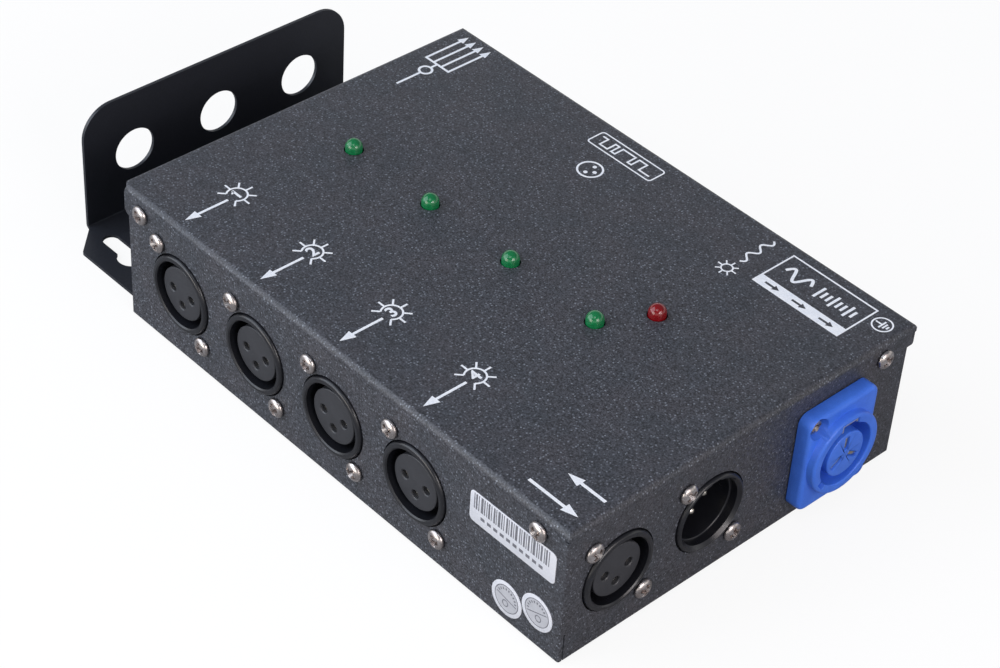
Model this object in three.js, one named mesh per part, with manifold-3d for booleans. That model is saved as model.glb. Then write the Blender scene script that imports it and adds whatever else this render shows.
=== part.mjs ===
// Signal splitter box for stage lighting: a folded sheet case with an L-shaped hanging bracket.
// Four female outputs stand on the long left face. A female through output, a male input and
// a locking power inlet stand on the end face. Five indicator lamps stand in the top.
// Millimetres. +X runs along the case towards the end face with the input, -Y is the face with the
// four outputs, and +Z is up. All is built about the centre of the case's underside, and the whole
// is then moved so that the origin is the centre of its own footprint, at the bracket's underside.

import * as THREE from 'three';
import { mergeVertices } from 'three/addons/utils/BufferGeometryUtils.js';
import Module from 'manifold-3d';

const wasm = await Module();
wasm.setup();

// Case: a cover (top, output face, end face, two short lips) over a base (floor, two walls)
const caseLength = 173;
const caseWidth = 122;
const caseHeight = 43;
const coverSheet = 1.2;
const baseSheet = 1.2;
const bendRadius = 2.4;
const backLipGap = 3.1;
const backLipDepth = 11.6;
const farLipGap = 1.9;
const farLipDepth = 7.5;
const lipSetBack = 1.7;
const nearTabLength = 9;
const tabLength = 12.5;
const tabHeight = 9;

// Clearances and cuts
const fitGap = 0.3;
const cutOverrun = 2;

// Places of the connectors, from the case's bracket end and output face. The sockets stand a little
// below mid-height, and the inlet a little past the middle of the room that they leave
const outputCount = 4;
const connectorPitch = 32;
const firstOutputInset = 22.7;
const throughInset = 18.2;
const socketDrop = 1;
const inletDrop = 0.2;
const inletShift = 1.3;

// Cover screws, from the case's top and edges
const coverScrewDrop = 5.6;
const nearScrewInset = 5.8;
const cornerScrewInset = 9.9;
const endScrewInset = 9.4;

// Round three-pole connectors on the common 19 by 24 fixing
const fixingSpanAcross = 19;
const fixingSpanUp = 24;
const flangeMargin = 3.5;
const flangeCorner = 3;
const socketFlangeThick = 2.4;
const collarRadius = 11.7;
const collarGap = 0.4;
const collarProud = 1;
const collarBevel = 0.9;
const mouthRadius = 9.9;
const mouthBevel = 0.4;
const barrelDepth = 19;
const barrelFloor = 2;
const insertRadius = 8;
const insertRecess = 0.3;
const contactCircle = 4;
const contactHoleRadius = 1.3;
const contactHoleDepth = 8;
const pinRadius = 1.2;
const pinRecess = 5.1;
const pinTailLength = 4;
const pinTipShare = 0.7;
const pinBevelShare = 0.1;

// Locking power inlet
const inletFlangeThick = 4.8;
const inletRingRadius = 12.3;
const inletRingProud = 2.5;
const inletRingBevel = 0.6;
const inletMouthRadius = 9.5;
const inletBarrelRadius = 11.6;
const inletBarrelDepth = 18;
const inletBarrelFloor = 2;
const inletBoreRadius = 2.9;
const inletBoreDepth = 3;
const coreRadius = 6.9;
const coreRecess = 0.3;
const coreSlotWidth = 1.7;
const coreSlotInner = 1.3;
const coreSlotOuter = 5.6;
const coreSlotDepth = 9;
const bladeCount = 3;
const bladeThick = 0.9;
const bladeRecess = 0.9;
const keyWidth = 6.4;
const keyDepth = 1.6;
const sideKeyWidth = 3;
const sideKeyTurn = Math.PI / 5;
const stripThick = 0.6;
const stripLength = 12;

// Screws: pan head with a cross recess, and countersunk ones for the bracket
const shankRadius = 1.5;
const headRadius = 2.8;
const headHeight = 1.6;
const headRim = 0.5;
const headCrown = 1.5;
const recessLength = 3.4;
const recessWidth = 0.8;
const recessDepth = 1.1;
const screwReach = 9;
const coverScrewReach = 5.4;
const sinkHeadRadius = 2.9;
const sinkRecessDepth = 0.7;
const sinkScrewReach = 6;
const bushRadius = 2.9;
const bushHeight = 1.6;

// Indicator lamps on long legs, placed from the board's edge nearest the outputs
const lampShift = 1.3;
const lampRowInset = 14.2;
const powerLampShift = 8;
const powerLampInset = 28.9;
const lampRadius = 2.5;
const lampRise = 3.4;
const lampLength = 7.6;
const lampRimRadius = 2.9;
const lampRimHeight = 1;
const lampLegSpan = 2.54;
const lampLegWidth = 0.6;

// Hanging bracket: a flange under the case and an upright plate beyond its end
const bracketSheet = 1;
const bracketReach = 40.5;
const bracketGrip = 25;
const bracketRise = 39.5;
const flangePlateWidth = 112.6;
const uprightWidth = 96;
const bracketBend = 1.5;
const uprightCorner = 10;
const gripCorner = 4;
const hangHoleRadius = 6.75;
const hangHolePitch = 30.5;
const hangHoleHeight = 20;
const hangHoleCount = 3;
const keyholeRadius = 4.4;
const keyholeSlotWidth = 5;
const keyholeSlotReach = 10;
const keyholeInset = 9.7;
const keyholeFromCase = 20.2;
const bracketScrewInset = 14;
const bracketScrewSpan = 60;

// Circuit board and what stands on it
const boardLength = 136;
const boardWidth = 72;
const boardThick = 1.6;
const boardEndInset = 10;
const boardSideInset = 5;
const supportHeight = 6;
const supportRadius = 2.5;
const supportFootRadius = 5;
const supportFootHeight = 1;
const supportNeckRadius = 1.4;
const supportTipRadius = 2.1;
const supportTipHeight = 1.6;
const supportInset = 5;
const transformerLength = 40;
const transformerWidth = 33;
const transformerHeadroom = 6.1;
const transformerCorner = 2;
const transformerEndInset = 9;
const transformerSideInset = 2;
const capacitorRadius = 8;
const capacitorHeight = 22;
const capacitorInset = 72;
const capacitorSideInset = 20;
const capacitorRimGroove = 0.6;
const capacitorGrooveHeight = 3;
const fuseRadius = 2.6;
const fuseLength = 20;
const fuseClipWidth = 5;
const fuseClipThick = 1.2;
const fuseLift = 4.6;
const fuseEndInset = 40;
const fuseSideInset = 44;
const chipLength = 9.8;
const chipWidth = 6.6;
const chipHeight = 3.4;
const chipStandoff = 0.6;
const chipLegLength = 1.2;
const chipSideInset = 7;
const leadRadius = 2.6;
const leadFoot = 1.9;
const leadLevelShare = 0.3;
const leadLandingInset = 4;

// Round-off: how many flat steps a round form has
const collarSteps = 24;
const holeSteps = 20;
const screwSteps = 8;
const bendSteps = 4;
const innerBendSteps = 2;
const cornerSteps = 2;
const lampSteps = 12;
const domeSteps = 3;
const leadQuarterSteps = 4;
const leadSteps = 8;

const halfLength = caseLength / 2;
const halfWidth = caseWidth / 2;
const coverBack = -halfLength - backLipGap - coverSheet;
const coverFar = halfWidth + farLipGap + coverSheet;
const screwHoleRadius = shankRadius + fitGap;
const topInside = caseHeight - coverSheet;
const bendFoot = caseHeight - bendRadius;
const flangeWidth = fixingSpanAcross + flangeMargin * 2;
const flangeHeight = fixingSpanUp + flangeMargin * 2;
const socketHeight = caseHeight / 2 - socketDrop;
const inletHeight = socketHeight - inletDrop;
const inputInset = throughInset + connectorPitch;
const inletInset = (inputInset + flangeWidth / 2 + caseWidth - baseSheet) / 2 + inletShift;
const inletFace = inletFlangeThick + inletRingProud;
const coverScrewHeight = caseHeight - coverScrewDrop;

// The board stands on its supports, beside the far long wall
const boardFoot = baseSheet + fitGap + supportHeight;
const boardTop = boardFoot + boardThick;
const boardBack = -halfLength + boardEndInset;
const boardFront = boardBack + boardLength;
const boardRight = halfWidth - boardSideInset;
const boardLeft = boardRight - boardWidth;
const boardSeat = boardTop + fitGap;
const transformerHeight = topInside - transformerHeadroom - boardSeat;

// Finishes
function finish(color, roughness, metalness) {
  return new THREE.MeshStandardMaterial({ color, roughness, metalness });
}
const finishes = {
  powderCoat: finish(0x4a4c50, 0.7, 0.2),
  bracketPaint: finish(0x1a1b1f, 0.6, 0.2),
  blackPlastic: finish(0x1b1b1d, 0.5, 0),
  bluePlastic: finish(0x2f62c8, 0.45, 0),
  nickel: finish(0xbeafa5, 0.35, 1),
  steel: finish(0xb4b6ba, 0.3, 1),
  greenLens: finish(0x14824a, 0.2, 0),
  redLens: finish(0x7a0a10, 0.2, 0),
  boardLaminate: finish(0x1f5a34, 0.6, 0),
  whiteNylon: finish(0xe6e4dc, 0.6, 0),
  transformerCase: finish(0x2a2d38, 0.6, 0),
  capacitorSleeve: finish(0x22252c, 0.4, 0),
  glassFuse: finish(0xc9ced2, 0.2, 0.3),
  leadSheath: finish(0x2b2b2b, 0.6, 0),
};

// Solids from three.js geometries, and back
function solidOf(geometry) {
  const bare = geometry.clone();
  bare.deleteAttribute('normal');
  bare.deleteAttribute('uv');
  const merged = mergeVertices(bare);
  return new wasm.Manifold(new wasm.Mesh({
    numProp: 3,
    vertProperties: new Float32Array(merged.attributes.position.array),
    triVerts: new Uint32Array(merged.index.array),
  }));
}

function geometryOf(solid) {
  const mesh = solid.getMesh();
  const geometry = new THREE.BufferGeometry();
  geometry.setAttribute('position', new THREE.BufferAttribute(mesh.vertProperties, 3));
  geometry.setIndex(new THREE.BufferAttribute(mesh.triVerts, 1));
  geometry.computeVertexNormals();
  return geometry;
}

// A block between two corners
function block(low, high) {
  const geometry = new THREE.BoxGeometry(high[0] - low[0], high[1] - low[1], high[2] - low[2]);
  geometry.translate((low[0] + high[0]) / 2, (low[1] + high[1]) / 2, (low[2] + high[2]) / 2);
  return geometry;
}

// An upright round rod about the line through x, y
function rod(radius, low, high, steps, x = 0, y = 0) {
  const geometry = new THREE.CylinderGeometry(radius, radius, high - low, steps);
  geometry.rotateX(Math.PI / 2);
  geometry.translate(x, y, (low + high) / 2);
  return geometry;
}

// A form turned about the Z axis from [radius, height] points listed upwards along its outside
function turned(points, steps) {
  const geometry = new THREE.LatheGeometry(points.map(([r, h]) => new THREE.Vector2(r, h)), steps);
  geometry.rotateX(Math.PI / 2);
  return geometry;
}

// A flat outline raised from low to high
function raised(shape, low, high, curveSteps = bendSteps) {
  const geometry = new THREE.ExtrudeGeometry(shape, {
    depth: high - low,
    bevelEnabled: false,
    curveSegments: curveSteps,
  });
  geometry.translate(0, 0, low);
  return geometry;
}

function roundedOutline(width, height, corner) {
  const x = width / 2;
  const y = height / 2;
  const shape = new THREE.Shape();
  shape.moveTo(-x + corner, -y);
  shape.lineTo(x - corner, -y);
  shape.absarc(x - corner, -y + corner, corner, -Math.PI / 2, 0);
  shape.lineTo(x, y - corner);
  shape.absarc(x - corner, y - corner, corner, 0, Math.PI / 2);
  shape.lineTo(-x + corner, y);
  shape.absarc(-x + corner, y - corner, corner, Math.PI / 2, Math.PI);
  shape.lineTo(-x, -y + corner);
  shape.absarc(-x + corner, -y + corner, corner, Math.PI, Math.PI * 1.5);
  return shape;
}

function outlineOf(points) {
  return new THREE.Shape(points.map(([x, y]) => new THREE.Vector2(x, y)));
}

// Work on a panel is done in its own frame: X to the right as seen from outside, Y up, Z outwards
function panelFrame(face, inset, height) {
  const turn = new THREE.Matrix4().makeRotationX(Math.PI / 2);
  if (face === 'outputs') {
    return new THREE.Matrix4().makeTranslation(inset - halfLength, -halfWidth, height).multiply(turn);
  }
  const quarter = new THREE.Matrix4().makeRotationZ(Math.PI / 2);
  const place = new THREE.Matrix4().makeTranslation(halfLength, inset - halfWidth, height);
  return place.multiply(quarter).multiply(turn);
}

const part = new THREE.Group();
part.name = 'dmx_splitter';

function addPiece(name, solid, material, parent = part) {
  const mesh = new THREE.Mesh(geometryOf(solid), material);
  mesh.name = name;
  parent.add(mesh);
  return mesh;
}

// What stands where on the panels
const outputs = Array.from({ length: outputCount }, (unused, index) => ({
  name: `output_${index + 1}`,
  frame: panelFrame('outputs', firstOutputInset + connectorPitch * index, socketHeight),
}));
const through = { name: 'through', frame: panelFrame('end', throughInset, socketHeight) };
const input = { name: 'input', frame: panelFrame('end', inputInset, socketHeight) };
const inlet = { name: 'inlet', frame: panelFrame('end', inletInset, inletHeight) };
const coverScrews = [
  { name: 'cover_screw_bracket_end', frame: panelFrame('outputs', nearScrewInset, coverScrewHeight) },
  {
    name: 'cover_screw_corner',
    frame: panelFrame('outputs', caseLength - cornerScrewInset, coverScrewHeight),
  },
  { name: 'cover_screw_end', frame: panelFrame('end', caseWidth - endScrewInset, coverScrewHeight) },
];
const fixings = [
  { name: 'screw_upper', x: -fixingSpanAcross / 2, y: fixingSpanUp / 2 },
  { name: 'screw_lower', x: fixingSpanAcross / 2, y: -fixingSpanUp / 2 },
];
const lamps = outputs.map((output, index) => ({
  name: `output_lamp_${index + 1}`,
  x: firstOutputInset + lampShift + connectorPitch * index - halfLength,
  y: boardLeft + lampRowInset,
  lens: finishes.greenLens,
}));
lamps.push({
  name: 'power_lamp',
  x: lamps[outputCount - 1].x + powerLampShift,
  y: boardLeft + powerLampInset,
  lens: finishes.redLens,
});

// Cover: one sheet folded down on all four sides, full height on the output and end faces
function roundedBlock(inset, bottom, steps) {
  const radius = bendRadius - inset;
  const top = caseHeight - inset;
  const arch = (low, high) => {
    const shape = new THREE.Shape();
    shape.moveTo(low, bottom);
    shape.lineTo(high, bottom);
    shape.lineTo(high, top - radius);
    shape.absarc(high - radius, top - radius, radius, 0, Math.PI / 2);
    shape.lineTo(low + radius, top);
    shape.absarc(low + radius, top - radius, radius, Math.PI / 2, Math.PI);
    return shape;
  };
  const left = -halfWidth + inset;
  const right = coverFar - inset;
  const back = coverBack + inset;
  const front = halfLength - inset;
  const acrossWidth = raised(arch(left, right), back, front, steps);
  acrossWidth.rotateX(Math.PI / 2);
  acrossWidth.rotateZ(Math.PI / 2);
  const alongLength = raised(arch(back, front), -right, -left, steps);
  alongLength.rotateX(Math.PI / 2);
  return solidOf(acrossWidth).intersect(solidOf(alongLength));
}

function makeCover() {
  const inside = roundedBlock(coverSheet, -cutOverrun, innerBendSteps);
  let cover = roundedBlock(0, 0, bendSteps).subtract(inside);
  const back = coverBack - cutOverrun;
  const left = -halfWidth - cutOverrun;
  const right = coverFar + cutOverrun;
  const front = halfLength + cutOverrun;
  const lipStart = -halfWidth + lipSetBack;
  const lipStop = halfLength - lipSetBack;
  const cornerInset = coverSheet + lipSetBack;
  const belowLips = [
    block([back, left, -cutOverrun], [-halfLength, right, caseHeight - backLipDepth]),
    block([coverBack + cornerInset, halfWidth, -cutOverrun], [front, right, caseHeight - farLipDepth]),
    block([back, left, -cutOverrun], [-halfLength, lipStart, bendFoot - fitGap]),
    block([lipStop, halfWidth, -cutOverrun], [front, right, bendFoot - fitGap]),
    block([back, coverFar - cornerInset, -cutOverrun], [coverBack + cornerInset, right, bendFoot - fitGap]),
  ];
  for (const room of belowLips) {
    cover = cover.subtract(solidOf(room));
  }
  const holeRadius = collarRadius + collarGap;
  const collarHole = rod(holeRadius, -cutOverrun - coverSheet, cutOverrun, collarSteps);
  const inletHole = rod(inletBarrelRadius + fitGap, -cutOverrun - coverSheet, cutOverrun, collarSteps);
  const screwHole = rod(screwHoleRadius, -cutOverrun - coverSheet, cutOverrun, screwSteps);
  for (const site of [...outputs, through, input, inlet]) {
    const hole = site === inlet ? inletHole : collarHole;
    cover = cover.subtract(solidOf(hole.clone().applyMatrix4(site.frame)));
    for (const { x, y } of fixings) {
      cover = cover.subtract(solidOf(screwHole.clone().translate(x, y, 0).applyMatrix4(site.frame)));
    }
  }
  for (const { frame } of coverScrews) {
    cover = cover.subtract(solidOf(screwHole.clone().applyMatrix4(frame)));
  }
  for (const { x, y } of lamps) {
    const low = topInside - cutOverrun;
    const lampHole = rod(lampRadius + fitGap, low, caseHeight + cutOverrun, lampSteps, x, y);
    cover = cover.subtract(solidOf(lampHole));
  }
  addPiece('cover', cover, finishes.powderCoat);
}

// Base: floor and two walls, with tabs behind the cover screws
function makeBase() {
  const wallTop = bendFoot;
  const left = -halfWidth + coverSheet + fitGap;
  const front = halfLength - coverSheet - fitGap;
  const tabFoot = wallTop - tabHeight;
  const endTabSide = halfWidth - endScrewInset - tabLength / 2;
  let base = solidOf(block([-halfLength, left, 0], [front, halfWidth, baseSheet]));
  const walls = [
    block([-halfLength, left, 0], [-halfLength + baseSheet, halfWidth, wallTop]),
    block([-halfLength, halfWidth - baseSheet, 0], [front, halfWidth, wallTop]),
    block([-halfLength, left, tabFoot], [-halfLength + nearTabLength, left + baseSheet, wallTop]),
    block([front - tabLength, left, 0], [front, left + baseSheet, wallTop]),
    block([front - baseSheet, endTabSide, tabFoot], [front, halfWidth, wallTop]),
  ];
  for (const wall of walls) {
    base = base.add(solidOf(wall));
  }
  const tabHole = rod(screwHoleRadius, -coverSheet - fitGap - baseSheet - cutOverrun, 0, screwSteps);
  for (const { frame } of coverScrews) {
    base = base.subtract(solidOf(tabHole.clone().applyMatrix4(frame)));
  }
  for (const side of [-1, 1]) {
    const x = -halfLength + bracketScrewInset;
    const y = side * bracketScrewSpan / 2;
    base = base.add(solidOf(rod(bushRadius, baseSheet / 2, baseSheet + bushHeight, screwSteps, x, y)));
    const high = baseSheet + bushHeight + cutOverrun;
    base = base.subtract(solidOf(rod(screwHoleRadius, -cutOverrun, high, screwSteps, x, y)));
  }
  addPiece('base', base, finishes.powderCoat);
}

// Bracket: an L folded from one sheet, its flange wider than the upright plate
function makeBracket() {
  const back = -halfLength - bracketReach;
  const front = -halfLength + bracketGrip;
  const underside = -bracketSheet;
  const innerBend = bracketBend - bracketSheet;
  const profile = new THREE.Shape();
  profile.moveTo(front, underside);
  profile.lineTo(front, 0);
  profile.lineTo(back + bracketBend, 0);
  profile.absarc(back + bracketBend, innerBend, innerBend, -Math.PI / 2, -Math.PI, true);
  profile.lineTo(back + bracketSheet, bracketRise);
  profile.lineTo(back, bracketRise);
  profile.lineTo(back, underside + bracketBend);
  profile.absarc(back + bracketBend, underside + bracketBend, bracketBend, Math.PI, Math.PI * 1.5);
  const folded = raised(profile, -flangePlateWidth / 2, flangePlateWidth / 2);
  folded.rotateX(Math.PI / 2);

  const wide = flangePlateWidth / 2;
  const narrow = uprightWidth / 2;
  const chamfer = wide - narrow;
  const plan = outlineOf([
    [back, -narrow],
    [back + bracketBend, -narrow],
    [back + bracketBend + chamfer, -wide],
    [front - gripCorner, -wide],
    [front, -wide + gripCorner],
    [front, wide - gripCorner],
    [front - gripCorner, wide],
    [back + bracketBend + chamfer, wide],
    [back + bracketBend, narrow],
    [back, narrow],
  ]);
  let bracket = solidOf(folded).intersect(solidOf(raised(plan, underside, bracketRise)));

  const outline = roundedOutline(uprightWidth, bracketRise * 2, uprightCorner);
  const upright = raised(outline, back, back + bracketBend);
  upright.rotateX(Math.PI / 2);
  upright.rotateZ(Math.PI / 2);
  const crown = solidOf(block(
    [back, -narrow, bracketRise - uprightCorner],
    [back + bracketBend, narrow, bracketRise + cutOverrun],
  ));
  bracket = bracket.subtract(crown.subtract(solidOf(upright)));

  const hangHole = rod(hangHoleRadius, back - cutOverrun, back + bracketSheet + cutOverrun, holeSteps);
  hangHole.rotateY(Math.PI / 2);
  for (let index = 0; index < hangHoleCount; index += 1) {
    const y = (index - (hangHoleCount - 1) / 2) * hangHolePitch;
    bracket = bracket.subtract(solidOf(hangHole.clone().translate(0, y, hangHoleHeight)));
  }
  for (const side of [-1, 1]) {
    const x = -halfLength - keyholeFromCase;
    const y = side * (wide - keyholeInset);
    const low = underside - cutOverrun;
    const slotEnd = x - keyholeSlotReach;
    const half = keyholeSlotWidth / 2;
    bracket = bracket.subtract(solidOf(rod(keyholeRadius, low, cutOverrun, holeSteps, x, y)));
    bracket = bracket.subtract(solidOf(rod(half, low, cutOverrun, holeSteps, slotEnd, y)));
    bracket = bracket.subtract(solidOf(block([slotEnd, y - half, low], [x, y + half, cutOverrun])));
    const sink = turned([
      [0, -bracketSheet - fitGap],
      [sinkHeadRadius + fitGap * 3, -bracketSheet - fitGap],
      [shankRadius + fitGap, 0],
      [shankRadius + fitGap, cutOverrun],
      [0, cutOverrun],
    ], screwSteps);
    const screwY = side * bracketScrewSpan / 2;
    bracket = bracket.subtract(solidOf(sink.translate(-halfLength + bracketScrewInset, screwY, 0)));
  }
  addPiece('hanging_bracket', bracket, finishes.bracketPaint);
}

// Screws, head up: the seat under the head is at zero height
function crossRecess(floor, mouth) {
  const half = recessLength / 2;
  const low = Math.min(floor, mouth);
  const high = Math.max(floor, mouth);
  const slot = block([-half, -recessWidth / 2, low], [half, recessWidth / 2, high]);
  return solidOf(slot).add(solidOf(slot.clone().rotateZ(Math.PI / 2)));
}

function panScrew(reach) {
  const body = turned([
    [0, -reach],
    [shankRadius, -reach],
    [shankRadius, 0],
    [headRadius, 0],
    [headRadius, headRim],
    [headCrown, headHeight],
    [0, headHeight],
  ], screwSteps);
  return solidOf(body).subtract(crossRecess(headHeight - recessDepth, headHeight + cutOverrun));
}

function makeCoverScrews() {
  for (const { name, frame } of coverScrews) {
    const holder = new THREE.Group();
    holder.applyMatrix4(frame);
    part.add(holder);
    const screw = addPiece(name, panScrew(coverScrewReach), finishes.nickel, holder);
    screw.position.z = fitGap;
  }
}

function makeBracketScrews() {
  for (const [index, side] of [-1, 1].entries()) {
    const body = turned([
      [0, -bracketSheet],
      [sinkHeadRadius, -bracketSheet],
      [shankRadius, 0],
      [shankRadius, sinkScrewReach - bracketSheet],
      [0, sinkScrewReach - bracketSheet],
    ], screwSteps);
    const recess = crossRecess(sinkRecessDepth - bracketSheet, -bracketSheet - cutOverrun);
    const solid = solidOf(body).subtract(recess);
    const screw = addPiece(`bracket_screw_${index + 1}`, solid, finishes.nickel);
    screw.position.set(-halfLength + bracketScrewInset, side * bracketScrewSpan / 2, 0);
  }
}

// A female or male connector's housing, mounted from behind: its collar stands in the panel
function socketHousing() {
  const flangeTop = -coverSheet - fitGap;
  const outline = roundedOutline(flangeWidth, flangeHeight, flangeCorner);
  const flange = raised(outline, flangeTop - socketFlangeThick, flangeTop, cornerSteps);
  const shell = turned([
    [0, -barrelDepth],
    [collarRadius, -barrelDepth],
    [collarRadius, collarProud - collarBevel],
    [collarRadius - collarBevel, collarProud],
    [0, collarProud],
  ], collarSteps);
  const bore = turned([
    [0, barrelFloor - barrelDepth],
    [mouthRadius, barrelFloor - barrelDepth],
    [mouthRadius, collarProud - mouthBevel],
    [mouthRadius + mouthBevel + cutOverrun, collarProud + cutOverrun],
    [0, collarProud + cutOverrun],
  ], collarSteps);
  let housing = solidOf(shell).add(solidOf(flange)).subtract(solidOf(bore));
  for (const { x, y } of fixings) {
    const hole = rod(screwHoleRadius, -barrelDepth, 0, screwSteps, x, y);
    housing = housing.subtract(solidOf(hole));
  }
  return housing;
}

// The three contacts: two level with the axis and one below it
const contactPlaces = [[-contactCircle, 0], [contactCircle, 0], [0, -contactCircle]];

function addFixingScrews(name, seat, holder) {
  for (const fixing of fixings) {
    const screw = addPiece(`${name}_${fixing.name}`, panScrew(screwReach), finishes.nickel, holder);
    screw.position.set(fixing.x, fixing.y, seat);
  }
}

function makeFemaleSocket({ name, frame }) {
  const holder = new THREE.Group();
  holder.applyMatrix4(frame);
  part.add(holder);
  addPiece(`${name}_socket`, socketHousing(), finishes.blackPlastic, holder);
  const floor = barrelFloor - barrelDepth + fitGap;
  let insert = solidOf(rod(insertRadius, floor, -insertRecess, collarSteps));
  for (const [x, y] of contactPlaces) {
    const low = -insertRecess - contactHoleDepth;
    insert = insert.subtract(solidOf(rod(contactHoleRadius, low, cutOverrun, screwSteps, x, y)));
  }
  addPiece(`${name}_insert`, insert, finishes.blackPlastic, holder);
  addFixingScrews(name, fitGap, holder);
}

function makeInput() {
  const holder = new THREE.Group();
  holder.applyMatrix4(input.frame);
  part.add(holder);
  let housing = socketHousing();
  for (const [x, y] of contactPlaces) {
    const low = -barrelDepth - cutOverrun;
    const high = barrelFloor - barrelDepth + cutOverrun;
    const hole = rod(pinRadius + fitGap, low, high, screwSteps, x, y);
    housing = housing.subtract(solidOf(hole));
  }
  addPiece('input_socket', housing, finishes.blackPlastic, holder);
  const tip = -pinRecess;
  const tail = -barrelDepth - pinTailLength;
  for (const [index, [x, y]] of contactPlaces.entries()) {
    const pin = turned([
      [0, tail],
      [pinRadius, tail],
      [pinRadius, tip - pinRadius / 2],
      [pinRadius * pinTipShare, tip - pinRadius * pinBevelShare],
      [0, tip],
    ], screwSteps);
    const mesh = addPiece(`input_pin_${index + 1}`, solidOf(pin), finishes.steel, holder);
    mesh.position.set(x, y, 0);
  }
  addFixingScrews('input', fitGap, holder);
}

// Power inlet, mounted from the front: thick flange, raised ring, keyed mouth and slotted core
function makeInlet() {
  const holder = new THREE.Group();
  holder.applyMatrix4(inlet.frame);
  part.add(holder);
  const seat = fitGap;
  const outline = roundedOutline(flangeWidth, flangeHeight, flangeCorner);
  const flange = raised(outline, seat, inletFlangeThick, cornerSteps);
  const shell = turned([
    [0, -inletBarrelDepth],
    [inletBarrelRadius, -inletBarrelDepth],
    [inletBarrelRadius, inletFlangeThick / 2],
    [inletRingRadius, inletFlangeThick / 2],
    [inletRingRadius, inletFace - inletRingBevel],
    [inletRingRadius - inletRingBevel, inletFace],
    [0, inletFace],
  ], collarSteps);
  const cavityFloor = inletBarrelFloor - inletBarrelDepth;
  const cavity = rod(inletMouthRadius, cavityFloor, inletFace + cutOverrun, collarSteps);
  let body = solidOf(shell).add(solidOf(flange)).subtract(solidOf(cavity));
  const keyFloor = inletFace - stripLength - fitGap;
  const keyReach = inletMouthRadius + keyDepth;
  const keyTop = inletFace + cutOverrun;
  const topKey = block([-keyWidth / 2, 0, keyFloor], [keyWidth / 2, keyReach, keyTop]);
  const sideKey = block([-keyReach, -sideKeyWidth / 2, keyFloor], [0, sideKeyWidth / 2, keyTop]);
  body = body.subtract(solidOf(topKey)).subtract(solidOf(sideKey.rotateZ(sideKeyTurn)));
  const boreFloor = inletFlangeThick - inletBoreDepth;
  for (const { x, y } of fixings) {
    const counterbore = rod(inletBoreRadius + fitGap, boreFloor, inletFace + cutOverrun, screwSteps, x, y);
    const hole = rod(screwHoleRadius, -cutOverrun, inletFace, screwSteps, x, y);
    body = body.subtract(solidOf(counterbore)).subtract(solidOf(hole));
  }
  addPiece('inlet_body', body, finishes.bluePlastic, holder);

  const coreTop = inletFace - coreRecess;
  const coreFloor = cavityFloor + fitGap;
  let core = solidOf(rod(coreRadius, coreFloor, coreTop, collarSteps));
  const slot = block(
    [coreSlotInner, -coreSlotWidth / 2, coreTop - coreSlotDepth],
    [coreSlotOuter, coreSlotWidth / 2, coreTop + cutOverrun],
  );
  const blade = block(
    [coreSlotInner + fitGap, -bladeThick / 2, coreTop - coreSlotDepth + fitGap],
    [coreSlotOuter - fitGap, bladeThick / 2, coreTop - bladeRecess],
  );
  const turns = Array.from({ length: bladeCount }, (unused, index) => (
    Math.PI / 2 + Math.PI * 2 * index / bladeCount
  ));
  for (const angle of turns) {
    core = core.subtract(solidOf(slot.clone().rotateZ(angle)));
  }
  addPiece('inlet_core', core, finishes.bluePlastic, holder);
  for (const [index, angle] of turns.entries()) {
    const mesh = addPiece(`inlet_blade_${index + 1}`, solidOf(blade), finishes.steel, holder);
    mesh.rotation.z = angle;
  }
  const stripTop = keyReach - fitGap;
  const strip = block(
    [-keyWidth / 2 + fitGap, stripTop - stripThick, keyFloor + fitGap],
    [keyWidth / 2 - fitGap, stripTop, inletFace - fitGap],
  );
  addPiece('inlet_latch_strip', solidOf(strip), finishes.steel, holder);
  addFixingScrews('inlet', boreFloor + fitGap, holder);
}

// Lamps: a domed lens on two legs that reach down to the board
function makeLamps() {
  const rimTop = caseHeight + lampRise - lampLength;
  const rimFoot = rimTop - lampRimHeight;
  const domeBase = caseHeight + lampRise - lampRadius;
  const profile = [[0, rimFoot], [lampRimRadius, rimFoot], [lampRimRadius, rimTop], [lampRadius, rimTop]];
  for (let step = 0; step <= domeSteps; step += 1) {
    const angle = Math.PI / 2 * step / domeSteps;
    profile.push([lampRadius * Math.cos(angle), domeBase + lampRadius * Math.sin(angle)]);
  }
  profile[profile.length - 1][0] = 0;
  let lamp = solidOf(turned(profile, lampSteps));
  for (const side of [-1, 1]) {
    const x = side * lampLegSpan / 2;
    const half = lampLegWidth / 2;
    const leg = block([x - half, -half, boardSeat], [x + half, half, rimFoot + lampRimHeight / 2]);
    lamp = lamp.add(solidOf(leg));
  }
  for (const { name, x, y, lens } of lamps) {
    const mesh = addPiece(name, lamp, lens);
    mesh.position.set(x, y, 0);
  }
}

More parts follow.
